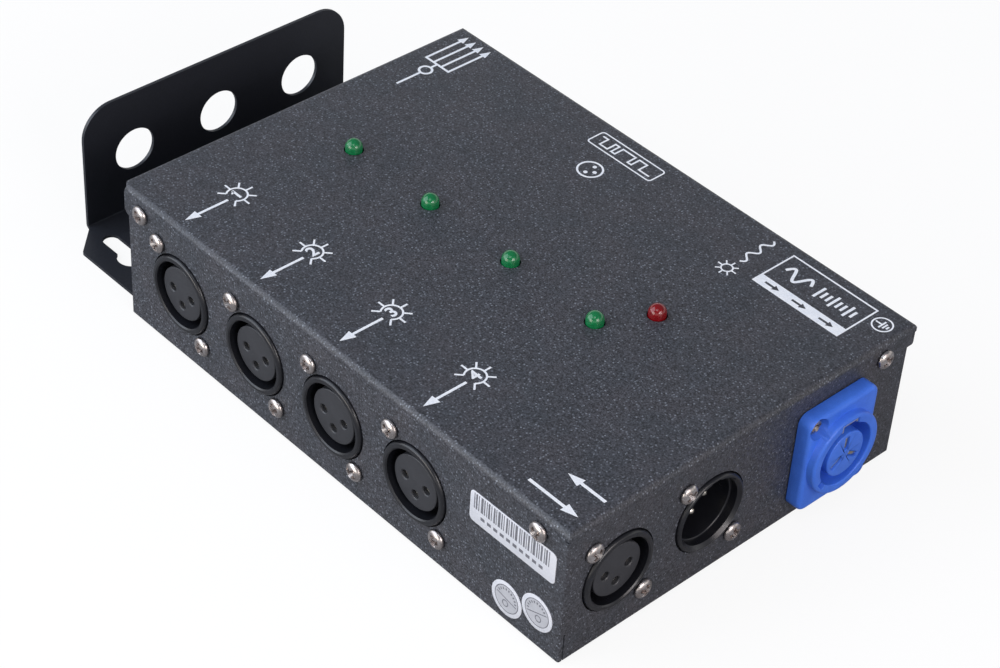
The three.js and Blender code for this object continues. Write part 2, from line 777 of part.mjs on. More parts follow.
// Circuit board on four supports stuck to the floor
function makeBoard() {
  let board = solidOf(block([boardBack, boardLeft, boardFoot], [boardFront, boardRight, boardTop]));
  const profile = [
    [0, baseSheet + fitGap],
    [supportFootRadius, baseSheet + fitGap],
    [supportFootRadius, baseSheet + fitGap + supportFootHeight],
    [supportRadius, baseSheet + fitGap + supportFootHeight],
    [supportRadius, boardFoot - fitGap],
    [supportNeckRadius, boardFoot - fitGap],
    [supportNeckRadius, boardSeat],
    [supportTipRadius, boardSeat],
    [supportNeckRadius, boardSeat + supportTipHeight],
    [0, boardSeat + supportTipHeight],
  ];
  const support = solidOf(turned(profile, screwSteps));
  let index = 1;
  for (const x of [boardBack + supportInset, boardFront - supportInset]) {
    for (const y of [boardLeft + supportInset, boardRight - supportInset]) {
      const low = boardFoot - cutOverrun;
      const hole = rod(supportNeckRadius + fitGap, low, boardTop + cutOverrun, screwSteps, x, y);
      board = board.subtract(solidOf(hole));
      const mesh = addPiece(`board_support_${index}`, support, finishes.whiteNylon);
      mesh.position.set(x, y, 0);
      index += 1;
    }
  }
  addPiece('main_board', board, finishes.boardLaminate);
}

function makeBoardParts() {
  const transformer = addPiece('transformer', solidOf(raised(
    roundedOutline(transformerLength, transformerWidth, transformerCorner),
    0,
    transformerHeight,
    cornerSteps,
  )), finishes.transformerCase);
  transformer.position.set(
    boardFront - transformerEndInset - transformerLength / 2,
    boardRight - transformerSideInset - transformerWidth / 2,
    boardSeat,
  );

  const grooveLow = capacitorGrooveHeight;
  const capacitor = addPiece('filter_capacitor', solidOf(turned([
    [0, 0],
    [capacitorRadius, 0],
    [capacitorRadius, grooveLow],
    [capacitorRadius - capacitorRimGroove, grooveLow + capacitorRimGroove],
    [capacitorRadius, grooveLow + capacitorRimGroove * 2],
    [capacitorRadius, capacitorHeight],
    [0, capacitorHeight],
  ], lampSteps)), finishes.capacitorSleeve);
  capacitor.position.set(boardFront - capacitorInset, boardRight - capacitorSideInset, boardSeat);

  const tube = rod(fuseRadius, -fuseLength / 2, fuseLength / 2, screwSteps);
  let fuse = solidOf(tube.rotateY(Math.PI / 2));
  for (const side of [-1, 1]) {
    const x = side * (fuseLength - fuseClipWidth) / 2;
    const half = fuseClipWidth / 2;
    const wide = fuseRadius + fuseClipThick;
    const clip = block([x - half, -wide, -fuseLift], [x + half, wide, fuseRadius / 2]);
    fuse = fuse.add(solidOf(clip));
  }
  const fuseMesh = addPiece('line_fuse', fuse, finishes.glassFuse);
  fuseMesh.position.set(boardFront - fuseEndInset, boardRight - fuseSideInset, boardSeat + fuseLift);

  let chip = solidOf(block(
    [-chipLength / 2, -chipWidth / 2, chipStandoff],
    [chipLength / 2, chipWidth / 2, chipStandoff + chipHeight],
  ));
  for (const side of [-1, 1]) {
    const y = side * chipWidth / 2;
    const low = Math.min(y, y + side * chipLegLength);
    const high = Math.max(y, y + side * chipLegLength);
    const half = chipLength / 2 - chipLegLength;
    chip = chip.add(solidOf(block([-half, low, 0], [half, high, chipStandoff + chipHeight / 2])));
  }
  for (let index = 0; index < outputCount; index += 1) {
    const mesh = addPiece(`driver_chip_${index + 1}`, chip, finishes.blackPlastic);
    mesh.position.set(lamps[index].x, boardLeft + chipSideInset, boardSeat);
  }
}

// Mains lead, from the back of the inlet down to the board
function makeMainsLead() {
  const start = new THREE.Vector3(
    halfLength - inletBarrelDepth - fitGap,
    inletInset - halfWidth,
    inletHeight,
  );
  const landing = new THREE.Vector3(boardFront - leadLandingInset, start.y, boardSeat);
  const bend = new THREE.Vector3(landing.x, start.y, start.z);
  const level = new THREE.Vector3().lerpVectors(start, bend, leadLevelShare);
  const drop = new THREE.Vector3(landing.x, landing.y, landing.z + leadFoot);
  const path = new THREE.CurvePath();
  path.add(new THREE.LineCurve3(start, level));
  path.add(new THREE.QuadraticBezierCurve3(level, bend, drop));
  path.add(new THREE.LineCurve3(drop, landing));
  const section = new THREE.Shape();
  section.absarc(0, 0, leadRadius, 0, Math.PI * 2);
  const tube = new THREE.ExtrudeGeometry(section, {
    steps: leadSteps,
    curveSegments: leadQuarterSteps,
    extrudePath: path,
    bevelEnabled: false,
  });
  addPiece('mains_lead', solidOf(tube), finishes.leadSheath);
}

makeCover();
makeBase();
makeBracket();
makeCoverScrews();
makeBracketScrews();
for (const output of outputs) {
  makeFemaleSocket(output);
}
makeFemaleSocket(through);
makeInput();
makeInlet();
makeLamps();
makeBoard();
makeBoardParts();
makeMainsLead();

const reachBack = halfLength + bracketReach;
const reachFront = halfLength + inletFace;
const reachLeft = halfWidth + fitGap + headHeight;
part.position.set((reachBack - reachFront) / 2, (reachLeft - coverFar) / 2, bracketSheet);

export default part;
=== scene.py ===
import math

import bmesh
import bpy
from mathutils import Matrix, Quaternion, Vector


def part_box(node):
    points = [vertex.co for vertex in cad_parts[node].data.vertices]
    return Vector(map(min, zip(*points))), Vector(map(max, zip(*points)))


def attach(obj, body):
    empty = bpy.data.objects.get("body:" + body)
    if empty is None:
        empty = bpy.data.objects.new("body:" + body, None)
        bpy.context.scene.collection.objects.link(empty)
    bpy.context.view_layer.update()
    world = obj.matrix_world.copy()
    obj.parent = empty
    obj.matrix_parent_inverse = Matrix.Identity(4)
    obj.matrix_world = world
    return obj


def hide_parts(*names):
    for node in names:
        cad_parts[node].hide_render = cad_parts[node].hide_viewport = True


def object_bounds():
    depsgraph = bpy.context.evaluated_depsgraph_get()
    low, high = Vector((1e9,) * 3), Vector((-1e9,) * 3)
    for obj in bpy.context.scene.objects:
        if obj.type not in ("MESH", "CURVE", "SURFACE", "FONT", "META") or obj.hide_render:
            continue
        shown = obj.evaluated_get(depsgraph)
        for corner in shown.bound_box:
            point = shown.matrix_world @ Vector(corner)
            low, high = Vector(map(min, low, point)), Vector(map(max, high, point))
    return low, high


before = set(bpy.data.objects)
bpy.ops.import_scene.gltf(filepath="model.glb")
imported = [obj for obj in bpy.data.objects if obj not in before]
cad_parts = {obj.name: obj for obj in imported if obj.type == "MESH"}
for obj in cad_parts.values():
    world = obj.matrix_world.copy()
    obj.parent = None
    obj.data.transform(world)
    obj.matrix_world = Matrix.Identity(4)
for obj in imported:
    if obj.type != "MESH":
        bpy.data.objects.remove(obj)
cadBox = [list(corner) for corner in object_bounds()]

# Every size here is in millimetres, and pieces are drawn about the middle of the case's underside:
# x runs to the end with the inlet, -y is the face with the four outputs, z is up.
mm = 0.001
caseSizes = {
    "length": 173,
    "width": 122,
    "height": 43,
    "backOverhang": 4.3,
    "farOverhang": 3.1,
}
halfLength = caseSizes["length"] / 2
halfWidth = caseSizes["width"] / 2
caseTop = caseSizes["height"]
backLip = -halfLength - caseSizes["backOverhang"]
farLip = halfWidth + caseSizes["farOverhang"]
cutOverrun = 2
fitGap = 0.3
slip = 0.01  # keeps two faces from lying exactly on each other
coverLow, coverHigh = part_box("cover")
caseOrigin = Vector((
    coverHigh.x - halfLength * mm,
    coverLow.y + halfWidth * mm,
    coverLow.z,
))


def inRow(point):
    return caseOrigin + Vector(point) * mm


def inCase(point):
    return (point - caseOrigin) / mm


def middleOf(node):
    low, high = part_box(node)
    return inCase((low + high) / 2)


# Frames on the panels: x to the right as seen from outside, y up, z outwards
upright = Matrix.Rotation(math.pi / 2, 4, "X")
quarterTurn = Matrix.Rotation(math.pi / 2, 4, "Z")


def onOutputFace(x, z, out=0):
    return Matrix.Translation((x, -halfWidth - out, z)) @ upright


def onEndFace(y, z, out=0):
    return Matrix.Translation((halfLength + out, y, z)) @ quarterTurn @ upright


def onPanel(face, node, out=0):
    spot = middleOf(node)
    return onOutputFace(spot.x, spot.z, out) if face == "outputs" else onEndFace(spot.y, spot.z, out)


def turned(degrees):
    return Matrix.Rotation(math.radians(degrees), 4, "Z")


def shifted(x, y, z=0):
    return Matrix.Translation((x, y, z))


def above(node):
    spot = middleOf(node)
    return shifted(spot.x, spot.y)


# Outlines
def arc(x, y, radius, start, end, steps):
    turns = [math.radians(start + (end - start) * step / steps) for step in range(steps + 1)]
    return [(x + radius * math.cos(turn), y + radius * math.sin(turn)) for turn in turns]


def filleted(corners, steps=6):
    outline = []
    for index, (x, y, radius) in enumerate(corners):
        if radius == 0:
            outline.append((x, y))
            continue
        here = Vector((x, y))
        before = (Vector(corners[index - 1][:2]) - here).normalized()
        after = (Vector(corners[(index + 1) % len(corners)][:2]) - here).normalized()
        half = before.angle(after) / 2
        centre = here + (before + after).normalized() * radius / math.sin(half)
        first = here + before * radius / math.tan(half) - centre
        last = here + after * radius / math.tan(half) - centre
        start = math.degrees(math.atan2(first.y, first.x))
        sweep = (math.degrees(math.atan2(last.y, last.x)) - start + 180) % 360 - 180
        outline += arc(centre.x, centre.y, radius, start, start + sweep, steps)
    return outline


def roundedRectangle(width, height, radius, steps=6):
    x, y = width / 2, height / 2
    return filleted([(-x, -y, radius), (x, -y, radius), (x, y, radius), (-x, y, radius)], steps)


def rectangle(lowX, lowY, highX, highY):
    return [(lowX, lowY), (highX, lowY), (highX, highY), (lowX, highY)]


# A line of even width through points, with mitred corners
def stroke(points, width, mitreLimit=0.3):
    sides = ([], [])
    path = [Vector(point) for point in points]
    for index, here in enumerate(path):
        into = (here - path[max(index - 1, 0)]).normalized()
        out = (path[min(index + 1, len(path) - 1)] - here).normalized()
        along = (into + out).normalized()
        normal = Vector((-along.y, along.x))
        square = Vector((-out.y, out.x)) if out.length else Vector((-into.y, into.x))
        reach = width / 2 / max(normal.dot(square), mitreLimit)
        sides[0].append(tuple(here + normal * reach))
        sides[1].append(tuple(here - normal * reach))
    return sides[0] + sides[1][::-1]


def arrow(start, end, width, headLength, headWidth):
    start, end = Vector(start), Vector(end)
    along = (end - start).normalized()
    across = Vector((-along.y, along.x))
    neck = end - along * headLength
    return [tuple(point) for point in (
        start - across * width / 2, neck - across * width / 2, neck - across * headWidth / 2, end,
        neck + across * headWidth / 2, neck + across * width / 2, start + across * width / 2,
    )]


# Meshes
def meshObject(bm, place=None):
    if place is not None:
        bmesh.ops.transform(bm, matrix=place, verts=bm.verts)
    bmesh.ops.recalc_face_normals(bm, faces=bm.faces)
    mesh = bpy.data.meshes.new("shape")
    bm.to_mesh(mesh)
    bm.free()
    thing = bpy.data.objects.new("shape", mesh)
    bpy.context.scene.collection.objects.link(thing)
    return thing


def prism(outline, low, high, place=None):
    bm = bmesh.new()
    below = [bm.verts.new((x, y, low)) for x, y in outline]
    above = [bm.verts.new((x, y, high)) for x, y in outline]
    bm.faces.new(below)
    bm.faces.new(above)
    for index in range(len(outline)):
        follower = (index + 1) % len(outline)
        bm.faces.new((below[index], below[follower], above[follower], above[index]))
    return meshObject(bm, place)


def block(low, high, place=None):
    return prism(rectangle(low[0], low[1], high[0], high[1]), low[2], high[2], place)


def spun(profile, steps, place=None, closed=False):
    bm = bmesh.new()
    rings = []
    for radius, height in profile:
        turns = [math.tau * step / steps for step in range(steps if radius else 1)]
        rings.append([
            bm.verts.new((radius * math.cos(turn), radius * math.sin(turn), height)) for turn in turns
        ])
    pairs = list(zip(rings, rings[1:])) + ([(rings[-1], rings[0])] if closed else [])
    for first, second in pairs:
        for step in range(steps):
            follower = (step + 1) % steps
            corners = [first[step % len(first)], first[follower % len(first)],
                       second[follower % len(second)], second[step % len(second)]]
            bm.faces.new(list(dict.fromkeys(corners)))
    return meshObject(bm, place)


def rod(radius, low, high, steps=48, place=None):
    return spun([(0, low), (radius, low), (radius, high), (0, high)], steps, place)


def ring(inner, outer, low, high, steps=64, place=None):
    return spun([(inner, low), (outer, low), (outer, high), (inner, high)], steps, place, closed=True)


def merged(things):
    bm = bmesh.new()
    for thing in things:
        bm.from_mesh(thing.data)
        bpy.data.meshes.remove(thing.data)
    return meshObject(bm)


def settled(thing):
    graph = bpy.context.evaluated_depsgraph_get()
    mesh = bpy.data.meshes.new_from_object(thing.evaluated_get(graph), depsgraph=graph)
    old = thing.data
    thing.modifiers.clear()
    thing.data = mesh
    bpy.data.meshes.remove(old)
    return thing


def joined(thing, tools, operation="UNION"):
    for tool in tools:
        modifier = thing.modifiers.new("join", "BOOLEAN")
        modifier.operation = operation
        modifier.solver = "MANIFOLD"
        modifier.object = tool
    settled(thing)
    for tool in tools:
        bpy.data.meshes.remove(tool.data)
    return thing


def cut(thing, tools):
    return joined(thing, tools, "DIFFERENCE")


def softened(thing, width, segments=2, sharperThan=35):
    modifier = thing.modifiers.new("edge", "BEVEL")
    modifier.width = width
    modifier.segments = segments
    modifier.limit_method = "ANGLE"
    modifier.angle_limit = math.radians(sharperThan)
    return settled(thing)


def roundEdges(thing, chosen, radius, steps):
    bm = bmesh.new()
    bm.from_mesh(thing.data)
    edges = [edge for edge in bm.edges if all(chosen(corner.co) for corner in edge.verts)]
    bmesh.ops.bevel(bm, geom=edges, offset=radius, segments=steps, profile=0.5, affect="EDGES")
    bm.to_mesh(thing.data)
    bm.free()
    return thing


# A piece goes from millimetres to metres, then to its place, and stands for its CAD nodes
def stand(thing, nodes, place):
    row = place.copy()
    row.translation = inRow(place.translation)
    thing.matrix_world = row
    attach(thing, "root")
    if nodes:
        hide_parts(*nodes)
    return thing


def addPiece(name, thing, material, nodes=(), place=Matrix(), sharperThan=32):
    thing.name = name
    thing.data.name = name
    thing.data.transform(Matrix.Scale(mm, 4))
    thing.data.shade_smooth()
    thing.data.set_sharp_from_angle(angle=math.radians(sharperThan))
    thing.data.materials.clear()
    thing.data.materials.append(material)
    return stand(thing, nodes, place)


def addCopy(name, model, nodes=(), place=Matrix()):
    thing = bpy.data.objects.new(name, model.data)
    bpy.context.scene.collection.objects.link(thing)
    return stand(thing, nodes, place)


# Pieces that are alike share one mesh: the first of a kind is drawn, and the others are its copies
firstOfKind = {}


def addAlike(kind, draw, name, material, nodes=(), place=Matrix()):
    if kind in firstOfKind:
        return addCopy(name, firstOfKind[kind], nodes, place)
    firstOfKind[kind] = addPiece(name, draw(), material, nodes, place)
    return firstOfKind[kind]


# Material nodes
def linearColour(code):
    channels = [int(code[start:start + 2], 16) / 255 for start in (1, 3, 5)]
    linear = [c / 12.92 if c <= 0.04045 else ((c + 0.055) / 1.055) ** 2.4 for c in channels]
    return (*linear, 1)


def addNode(tree, kind, inputs, **settings):
    node = tree.nodes.new("ShaderNode" + kind)
    for name, value in settings.items():
        setattr(node, name, value)
    for name, value in inputs.items():
        if isinstance(value, bpy.types.NodeSocket):
            tree.links.new(value, node.inputs[name])
        else:
            node.inputs[name].default_value = value
    return node


def perMetre(size):
    return 1 / (size * mm)


def emptyMaterial(name):
    material = bpy.data.materials.new(name)
    material.use_nodes = True
    material.node_tree.nodes.clear()
    return material, material.node_tree


# Noise gathers round a half: these are the spans of it that the patterns stretch out
driftSpan = {"From Min": 0.35, "From Max": 0.65}
grainSpan = {"From Min": 0.3, "From Max": 0.7}


# A finish with a slow drift of tone and a fine grain, which most of the parts share
def grainedMaterial(name, look):
    material, tree = emptyMaterial(name)
    where = addNode(tree, "TexCoord", {}).outputs["Object"]
    drift = addNode(tree, "TexNoise", {
        "Vector": where, "Scale": perMetre(look["driftSize"]), "Detail": 3, "Roughness": 0.6,
    })
    grain = addNode(tree, "TexNoise", {
        "Vector": where, "Scale": perMetre(look["grainSize"]), "Detail": 2, "Roughness": 0.55,
    })
    toneShare = addNode(tree, "MapRange", {"Value": drift.outputs["Fac"], **driftSpan})
    tone = addNode(tree, "Mix", {
        0: toneShare.outputs["Result"],
        6: linearColour(look["colour"]),
        7: linearColour(look["driftColour"]),
    }, data_type="RGBA")
    grainShare = addNode(tree, "MapRange", {
        "Value": grain.outputs["Fac"], **grainSpan,
        "To Min": look["grainDark"], "To Max": look["grainLight"],
    })
    colour = addNode(tree, "Mix", {
        0: 1.0, 6: tone.outputs[2], 7: grainShare.outputs["Result"],
    }, data_type="RGBA", blend_type="MULTIPLY")
    roughness = addNode(tree, "MapRange", {
        "Value": drift.outputs["Fac"], **grainSpan,
        "To Min": look["roughness"] - look["roughnessDrift"],
        "To Max": look["roughness"] + look["roughnessDrift"],
    })
    bump = addNode(tree, "Bump", {
        "Height": grain.outputs["Fac"], "Strength": 1.0, "Distance": look["grainHeight"] * mm,
    })
    shader = addNode(tree, "BsdfPrincipled", {
        "Base Color": colour.outputs[2],
        "Roughness": roughness.outputs["Result"],
        "Metallic": look.get("metallic", 0.0),
        "IOR": look.get("ior", 1.5),
        "Normal": bump.outputs["Normal"],
    })
    addNode(tree, "OutputMaterial", {"Surface": shader.outputs["BSDF"]})
    return material


# Polyester powder coat, sprayed dry and baked to a fine texture: matt, with a fine grain. Painted glints:
# lighter specks painted into the colour where the grain's tips would catch the light. The grain is drawn
# a little coarser than the real 0.2 mm, to show.
coverCoat = {
    "colour": "#3F3F44",
    "driftColour": "#393C42",
    "driftSize": 14,
    # painted glint: the colour of the specks that stand in for grain tips catching the light
    "paintedGlintColour": "#858B94",
    "grainSize": 0.52,
    "grainSpread": 0.14,
    "grainDark": 0.35,
    "grainLight": 1.65,
    "grainHeight": 0.05,
    "glintSize": 0.8,
    "glintFull": 0.18,
    "glintFaded": 0.4,
    "glintShare": 0.35,
    "glintStrength": 0.9,
    "roughness": 0.46,
}


def makeCoverCoat():
    look = coverCoat
    material, tree = emptyMaterial("texturedPowderCoat")
    where = addNode(tree, "TexCoord", {}).outputs["Object"]
    drift = addNode(tree, "TexNoise", {
        "Vector": where, "Scale": perMetre(look["driftSize"]), "Detail": 4, "Roughness": 0.65,
    })
    grain = addNode(tree, "TexNoise", {
        "Vector": where, "Scale": perMetre(look["grainSize"]), "Detail": 2, "Roughness": 0.7,
    })
    glintCells = addNode(tree, "TexVoronoi", {"Vector": where, "Scale": perMetre(look["glintSize"])})
    glintPick = addNode(tree, "SeparateColor", {"Color": glintCells.outputs["Color"]})
    near = addNode(tree, "MapRange", {
        "Value": glintCells.outputs["Distance"], "From Min": look["glintFull"], "From Max": look["glintFaded"],
        "To Min": 1, "To Max": 0,
    })
    picked = addNode(tree, "MapRange", {
        "Value": glintPick.outputs["Red"], "From Min": look["glintShare"], "From Max": 1,
        "To Max": look["glintStrength"],
    })
    # tip is the mask of the painted glints: lighter specks that stand in for light caught by the grain
    tip = addNode(tree, "Math", {0: near.outputs["Result"], 1: picked.outputs["Result"]},
                  operation="MULTIPLY")
    toneShare = addNode(tree, "MapRange", {"Value": drift.outputs["Fac"], **driftSpan})
    tone = addNode(tree, "Mix", {
        0: toneShare.outputs["Result"],
        6: linearColour(look["colour"]),
        7: linearColour(look["driftColour"]),
    }, data_type="RGBA")
    grainShare = addNode(tree, "MapRange", {
        "Value": grain.outputs["Fac"],
        "From Min": 0.5 - look["grainSpread"], "From Max": 0.5 + look["grainSpread"],
        "To Min": look["grainDark"], "To Max": look["grainLight"],
    })
    ground = addNode(tree, "Mix", {
        0: 1.0, 6: tone.outputs[2], 7: grainShare.outputs["Result"],
    }, data_type="RGBA", blend_type="MULTIPLY")
    # the painted glints are mixed into the base colour here
    colour = addNode(tree, "Mix", {
        0: tip.outputs["Value"], 6: ground.outputs[2], 7: linearColour(look["paintedGlintColour"]),
    }, data_type="RGBA")
    bump = addNode(tree, "Bump", {
        "Height": grain.outputs["Fac"], "Strength": 1.0, "Distance": look["grainHeight"] * mm,
    })
    shader = addNode(tree, "BsdfPrincipled", {
        "Base Color": colour.outputs[2],
        "Roughness": look["roughness"],
        "Normal": bump.outputs["Normal"],
    })
    addNode(tree, "OutputMaterial", {"Surface": shader.outputs["BSDF"]})
    return material


# Satin polyester powder coat, sprayed on the bent bracket: smoother and blacker than the cover
bracketCoat = {
    "colour": "#27292F", "driftColour": "#23252B", "driftSize": 12,
    "grainSize": 0.6, "grainHeight": 0.012, "grainDark": 0.85, "grainLight": 1.15,
    "roughness": 0.42, "roughnessDrift": 0.04,
}
# Nickel-plated steel, cold-headed: bright, a little warm, with dull spots where the plate is thin
screwPlating = {
    "colour": "#DAD3D0", "driftColour": "#ADA5A1", "driftSize": 1.6,
    "grainSize": 0.25, "grainHeight": 0.012, "grainDark": 0.8, "grainLight": 1.05,
    "roughness": 0.28, "roughnessDrift": 0.08, "metallic": 1.0,
}
# Glass-filled nylon, injection moulded in an eroded tool: dark grey with a soft even sheen
connectorNylon = {
    "colour": "#35363A", "driftColour": "#303135", "driftSize": 5,
    "grainSize": 0.3, "grainHeight": 0.006, "grainDark": 0.93, "grainLight": 1.07,
    "roughness": 0.46, "roughnessDrift": 0.03, "ior": 1.5,
}
# Unfilled nylon, moulded against polished steel, for the collars and cups: black, with a gloss
# that draws a thin bright line where the ring turns over
cupNylon = {
    "colour": "#1B1C21", "driftColour": "#17181C", "driftSize": 4,
    "grainSize": 0.5, "grainHeight": 0.003, "grainDark": 0.9, "grainLight": 1.1,
    "roughness": 0.3, "roughnessDrift": 0.03, "ior": 1.5,
}
# Blue nylon, injection moulded: saturated, half matt, with faint flow marks
inletNylon = {
    "colour": "#477DEC", "driftColour": "#3F73E0", "driftSize": 7,
    "grainSize": 0.35, "grainHeight": 0.007, "grainDark": 0.94, "grainLight": 1.04,
    "roughness": 0.4, "roughnessDrift": 0.04, "ior": 1.46,
}
# Brass, turned and silver plated: soft white metal with faint turning marks
contactSilver = {
    "colour": "#D6D2CA", "driftColour": "#C3BDB2", "driftSize": 1.2,
    "grainSize": 0.2, "grainHeight": 0.004, "grainDark": 0.9, "grainLight": 1.05,
    "roughness": 0.24, "roughnessDrift": 0.05, "metallic": 1.0,
}
# Stainless spring steel, cold rolled and stamped: grey and bright
springSteel = {
    "colour": "#E4E5E8", "driftColour": "#CFD1D4", "driftSize": 2,
    "grainSize": 0.25, "grainHeight": 0.005, "grainDark": 0.88, "grainLight": 1.04,
    "roughness": 0.45, "roughnessDrift": 0.05, "metallic": 1.0,
}
# Screen-printed epoxy ink: flat white, a little thin over the coat's grain
printInk = {
    "colour": "#F8FAFC", "driftColour": "#EFF3F8", "driftSize": 2.5,
    "grainSize": 0.4, "grainHeight": 0.012, "grainDark": 0.9, "grainLight": 1.04,
    "roughness": 0.55, "roughnessDrift": 0.03,
}
# White vinyl label, calendered: pale grey and smooth, with its grey print
labelVinyl = {
    "colour": "#E4E5EA", "driftColour": "#DBDDE3", "driftSize": 6,
    "grainSize": 0.4, "grainHeight": 0.004, "grainDark": 0.96, "grainLight": 1.03,
    "roughness": 0.4, "roughnessDrift": 0.03,
}
labelInk = {
    "colour": "#6A6B71", "driftColour": "#7C7D84", "driftSize": 1.5,
    "grainSize": 0.3, "grainHeight": 0.002, "grainDark": 0.92, "grainLight": 1.06,
    "roughness": 0.5, "roughnessDrift": 0.03,
}
sealInk = {
    "colour": "#C4C5CA", "driftColour": "#BABBC0", "driftSize": 2.5,
    "grainSize": 0.3, "grainHeight": 0.002, "grainDark": 0.95, "grainLight": 1.04,
    "roughness": 0.45, "roughnessDrift": 0.03,
}
# Inside the case
solderMask = {  # glass-epoxy laminate under a curtain-coated green mask: glossy
    "colour": "#1F5A34", "driftColour": "#1A4F2D", "driftSize": 8,
    "grainSize": 0.5, "grainHeight": 0.006, "grainDark": 0.9, "grainLight": 1.08,
    "roughness": 0.35, "roughnessDrift": 0.05, "ior": 1.55,
}
whiteNylon = {  # unfilled nylon, moulded: milky and half matt
    "colour": "#E6E4DC", "driftColour": "#DAD7CC", "driftSize": 4,
    "grainSize": 0.4, "grainHeight": 0.004, "grainDark": 0.96, "grainLight": 1.02,
    "roughness": 0.45, "roughnessDrift": 0.04, "ior": 1.53,
}
pottedCase = {  # epoxy potting in a moulded shell: near black, matt
    "colour": "#2A2D38", "driftColour": "#24262F", "driftSize": 6,
    "grainSize": 0.5, "grainHeight": 0.01, "grainDark": 0.9, "grainLight": 1.1,
    "roughness": 0.5, "roughnessDrift": 0.05,
}
shrunkSleeve = {  # PVC sleeve, shrunk on: smooth and dark
    "colour": "#22252C", "driftColour": "#1D2026", "driftSize": 5,
    "grainSize": 0.6, "grainHeight": 0.003, "grainDark": 0.95, "grainLight": 1.05,
    "roughness": 0.3, "roughnessDrift": 0.03,
}
fuseGlass = {  # drawn glass tube with plated ends: pale and glossy
    "colour": "#C9CED2", "driftColour": "#BCC2C7", "driftSize": 3,
    "grainSize": 0.6, "grainHeight": 0.001, "grainDark": 0.97, "grainLight": 1.02,
    "roughness": 0.12, "roughnessDrift": 0.02, "ior": 1.52,
}
chipEpoxy = {  # transfer-moulded epoxy: black with a fine matt skin
    "colour": "#1E1E20", "driftColour": "#1A1A1C", "driftSize": 3,
    "grainSize": 0.2, "grainHeight": 0.006, "grainDark": 0.9, "grainLight": 1.1,
    "roughness": 0.55, "roughnessDrift": 0.04,
}
leadSheath = {  # soft PVC, extruded: dark and slightly waxy
    "colour": "#2B2B2B", "driftColour": "#262626", "driftSize": 8,
    "grainSize": 0.5, "grainHeight": 0.006, "grainDark": 0.94, "grainLight": 1.06,
    "roughness": 0.48, "roughnessDrift": 0.04,
}

# Tinted epoxy, cast: clear and deep in colour, with a hard gloss
lensColours = {"green": "#128048", "red": "#8A0A12"}
lensLook = {
    "transmission": 0.2, "roughness": 0.11, "ior": 1.54,
    "streakSize": 1.1, "streakDark": 0.75, "streakLight": 1.1,
}


def makeLensEpoxy(colourName):
    look = lensLook
    material, tree = emptyMaterial("castEpoxy" + colourName.capitalize())
    where = addNode(tree, "TexCoord", {}).outputs["Object"]
    streaks = addNode(tree, "TexNoise", {
        "Vector": where, "Scale": perMetre(look["streakSize"]), "Detail": 2,
    })
    depth = addNode(tree, "MapRange", {
        "Value": streaks.outputs["Fac"], **grainSpan,
        "To Min": look["streakDark"], "To Max": look["streakLight"],
    })
    colour = addNode(tree, "Mix", {
        0: 1.0, 6: linearColour(lensColours[colourName]), 7: depth.outputs["Result"],
    }, data_type="RGBA", blend_type="MULTIPLY")
    shader = addNode(tree, "BsdfPrincipled", {
        "Base Color": colour.outputs[2],
        "Roughness": look["roughness"],
        "IOR": look["ior"],
        "Transmission Weight": look["transmission"],
    })
    addNode(tree, "OutputMaterial", {"Surface": shader.outputs["BSDF"]})
    return material


coverPaint = makeCoverCoat()
bracketPaint = grainedMaterial("satinPowderCoat", bracketCoat)
screwNickel = grainedMaterial("nickelPlatedSteel", screwPlating)
darkNylon = grainedMaterial("mouldedGlassNylon", connectorNylon)
glossNylon = grainedMaterial("polishedNylon", cupNylon)
blueNylon = grainedMaterial("mouldedBlueNylon", inletNylon)
silverBrass = grainedMaterial("silverPlatedBrass", contactSilver)
stampedSteel = grainedMaterial("stampedSpringSteel", springSteel)
whiteInk = grainedMaterial("screenPrintedInk", printInk)
whiteVinyl = grainedMaterial("calenderedVinyl", labelVinyl)
greyInk = grainedMaterial("labelPrintInk", labelInk)
paleInk = grainedMaterial("sealPrintInk", sealInk)
greenEpoxy = makeLensEpoxy("green")
redEpoxy = makeLensEpoxy("red")
print("materials made")


# Cover: one sheet folded down on all four sides, its two short lips kept back from the corners
coverDetails = {
    "sheet": 1.2,
    "bendRadius": 2.4,
    "bendSteps": 12,
    "backLipDepth": 11.6,
    "farLipDepth": 7.5,
    "lipSetBack": 1.7,
    "lipRound": 1.6,
    "lipRoom": 1,
    "nearTipRound": 5.4,
    "backTipRound": 3,
    "farTipRound": 0.5,
    "tipDepth": 2.7,
    "seamWidth": 0.3,
    "seamDepth": 0.8,
    "seamTop": 9,
    "earInset": 0.02,
    "earGap": 0.05,
    "nearEarRound": 2.2,
    "nearEarTop": 2.2,
    "farEarOverlap": 0.1,
    "farEarSetBack": 0.5,
    "farEarRound": 0.7,
    "cornerRound": 0.6,
    "notchLength": 1.3,
    "notchHeight": 0.4,
    "notchReach": 0.5,
    "edge": 0.15,
    "collarHole": 12.1,
    "inletHole": 11.9,
    "screwHole": 1.8,
    "lampHole": 2.8,
}


def archOutline(low, high, bottom, top, radius, steps):
    return ([(low, bottom), (high, bottom)]
            + arc(high - radius, top - radius, radius, 0, 90, steps)
            + arc(low + radius, top - radius, radius, 90, 180, steps))


def foldedBlock(inset, bottom):
    radius = coverDetails["bendRadius"] - inset
    steps = coverDetails["bendSteps"]
    left, right = inset - halfWidth, farLip - inset
    back, front = backLip + inset, halfLength - inset
    top = caseTop - inset
    across = prism(archOutline(left, right, bottom, top, radius, steps), back, front, quarterTurn @ upright)
    along = prism(archOutline(back, front, bottom, top, radius, steps), -right, -left, upright)
    return joined(across, [along], "INTERSECT")


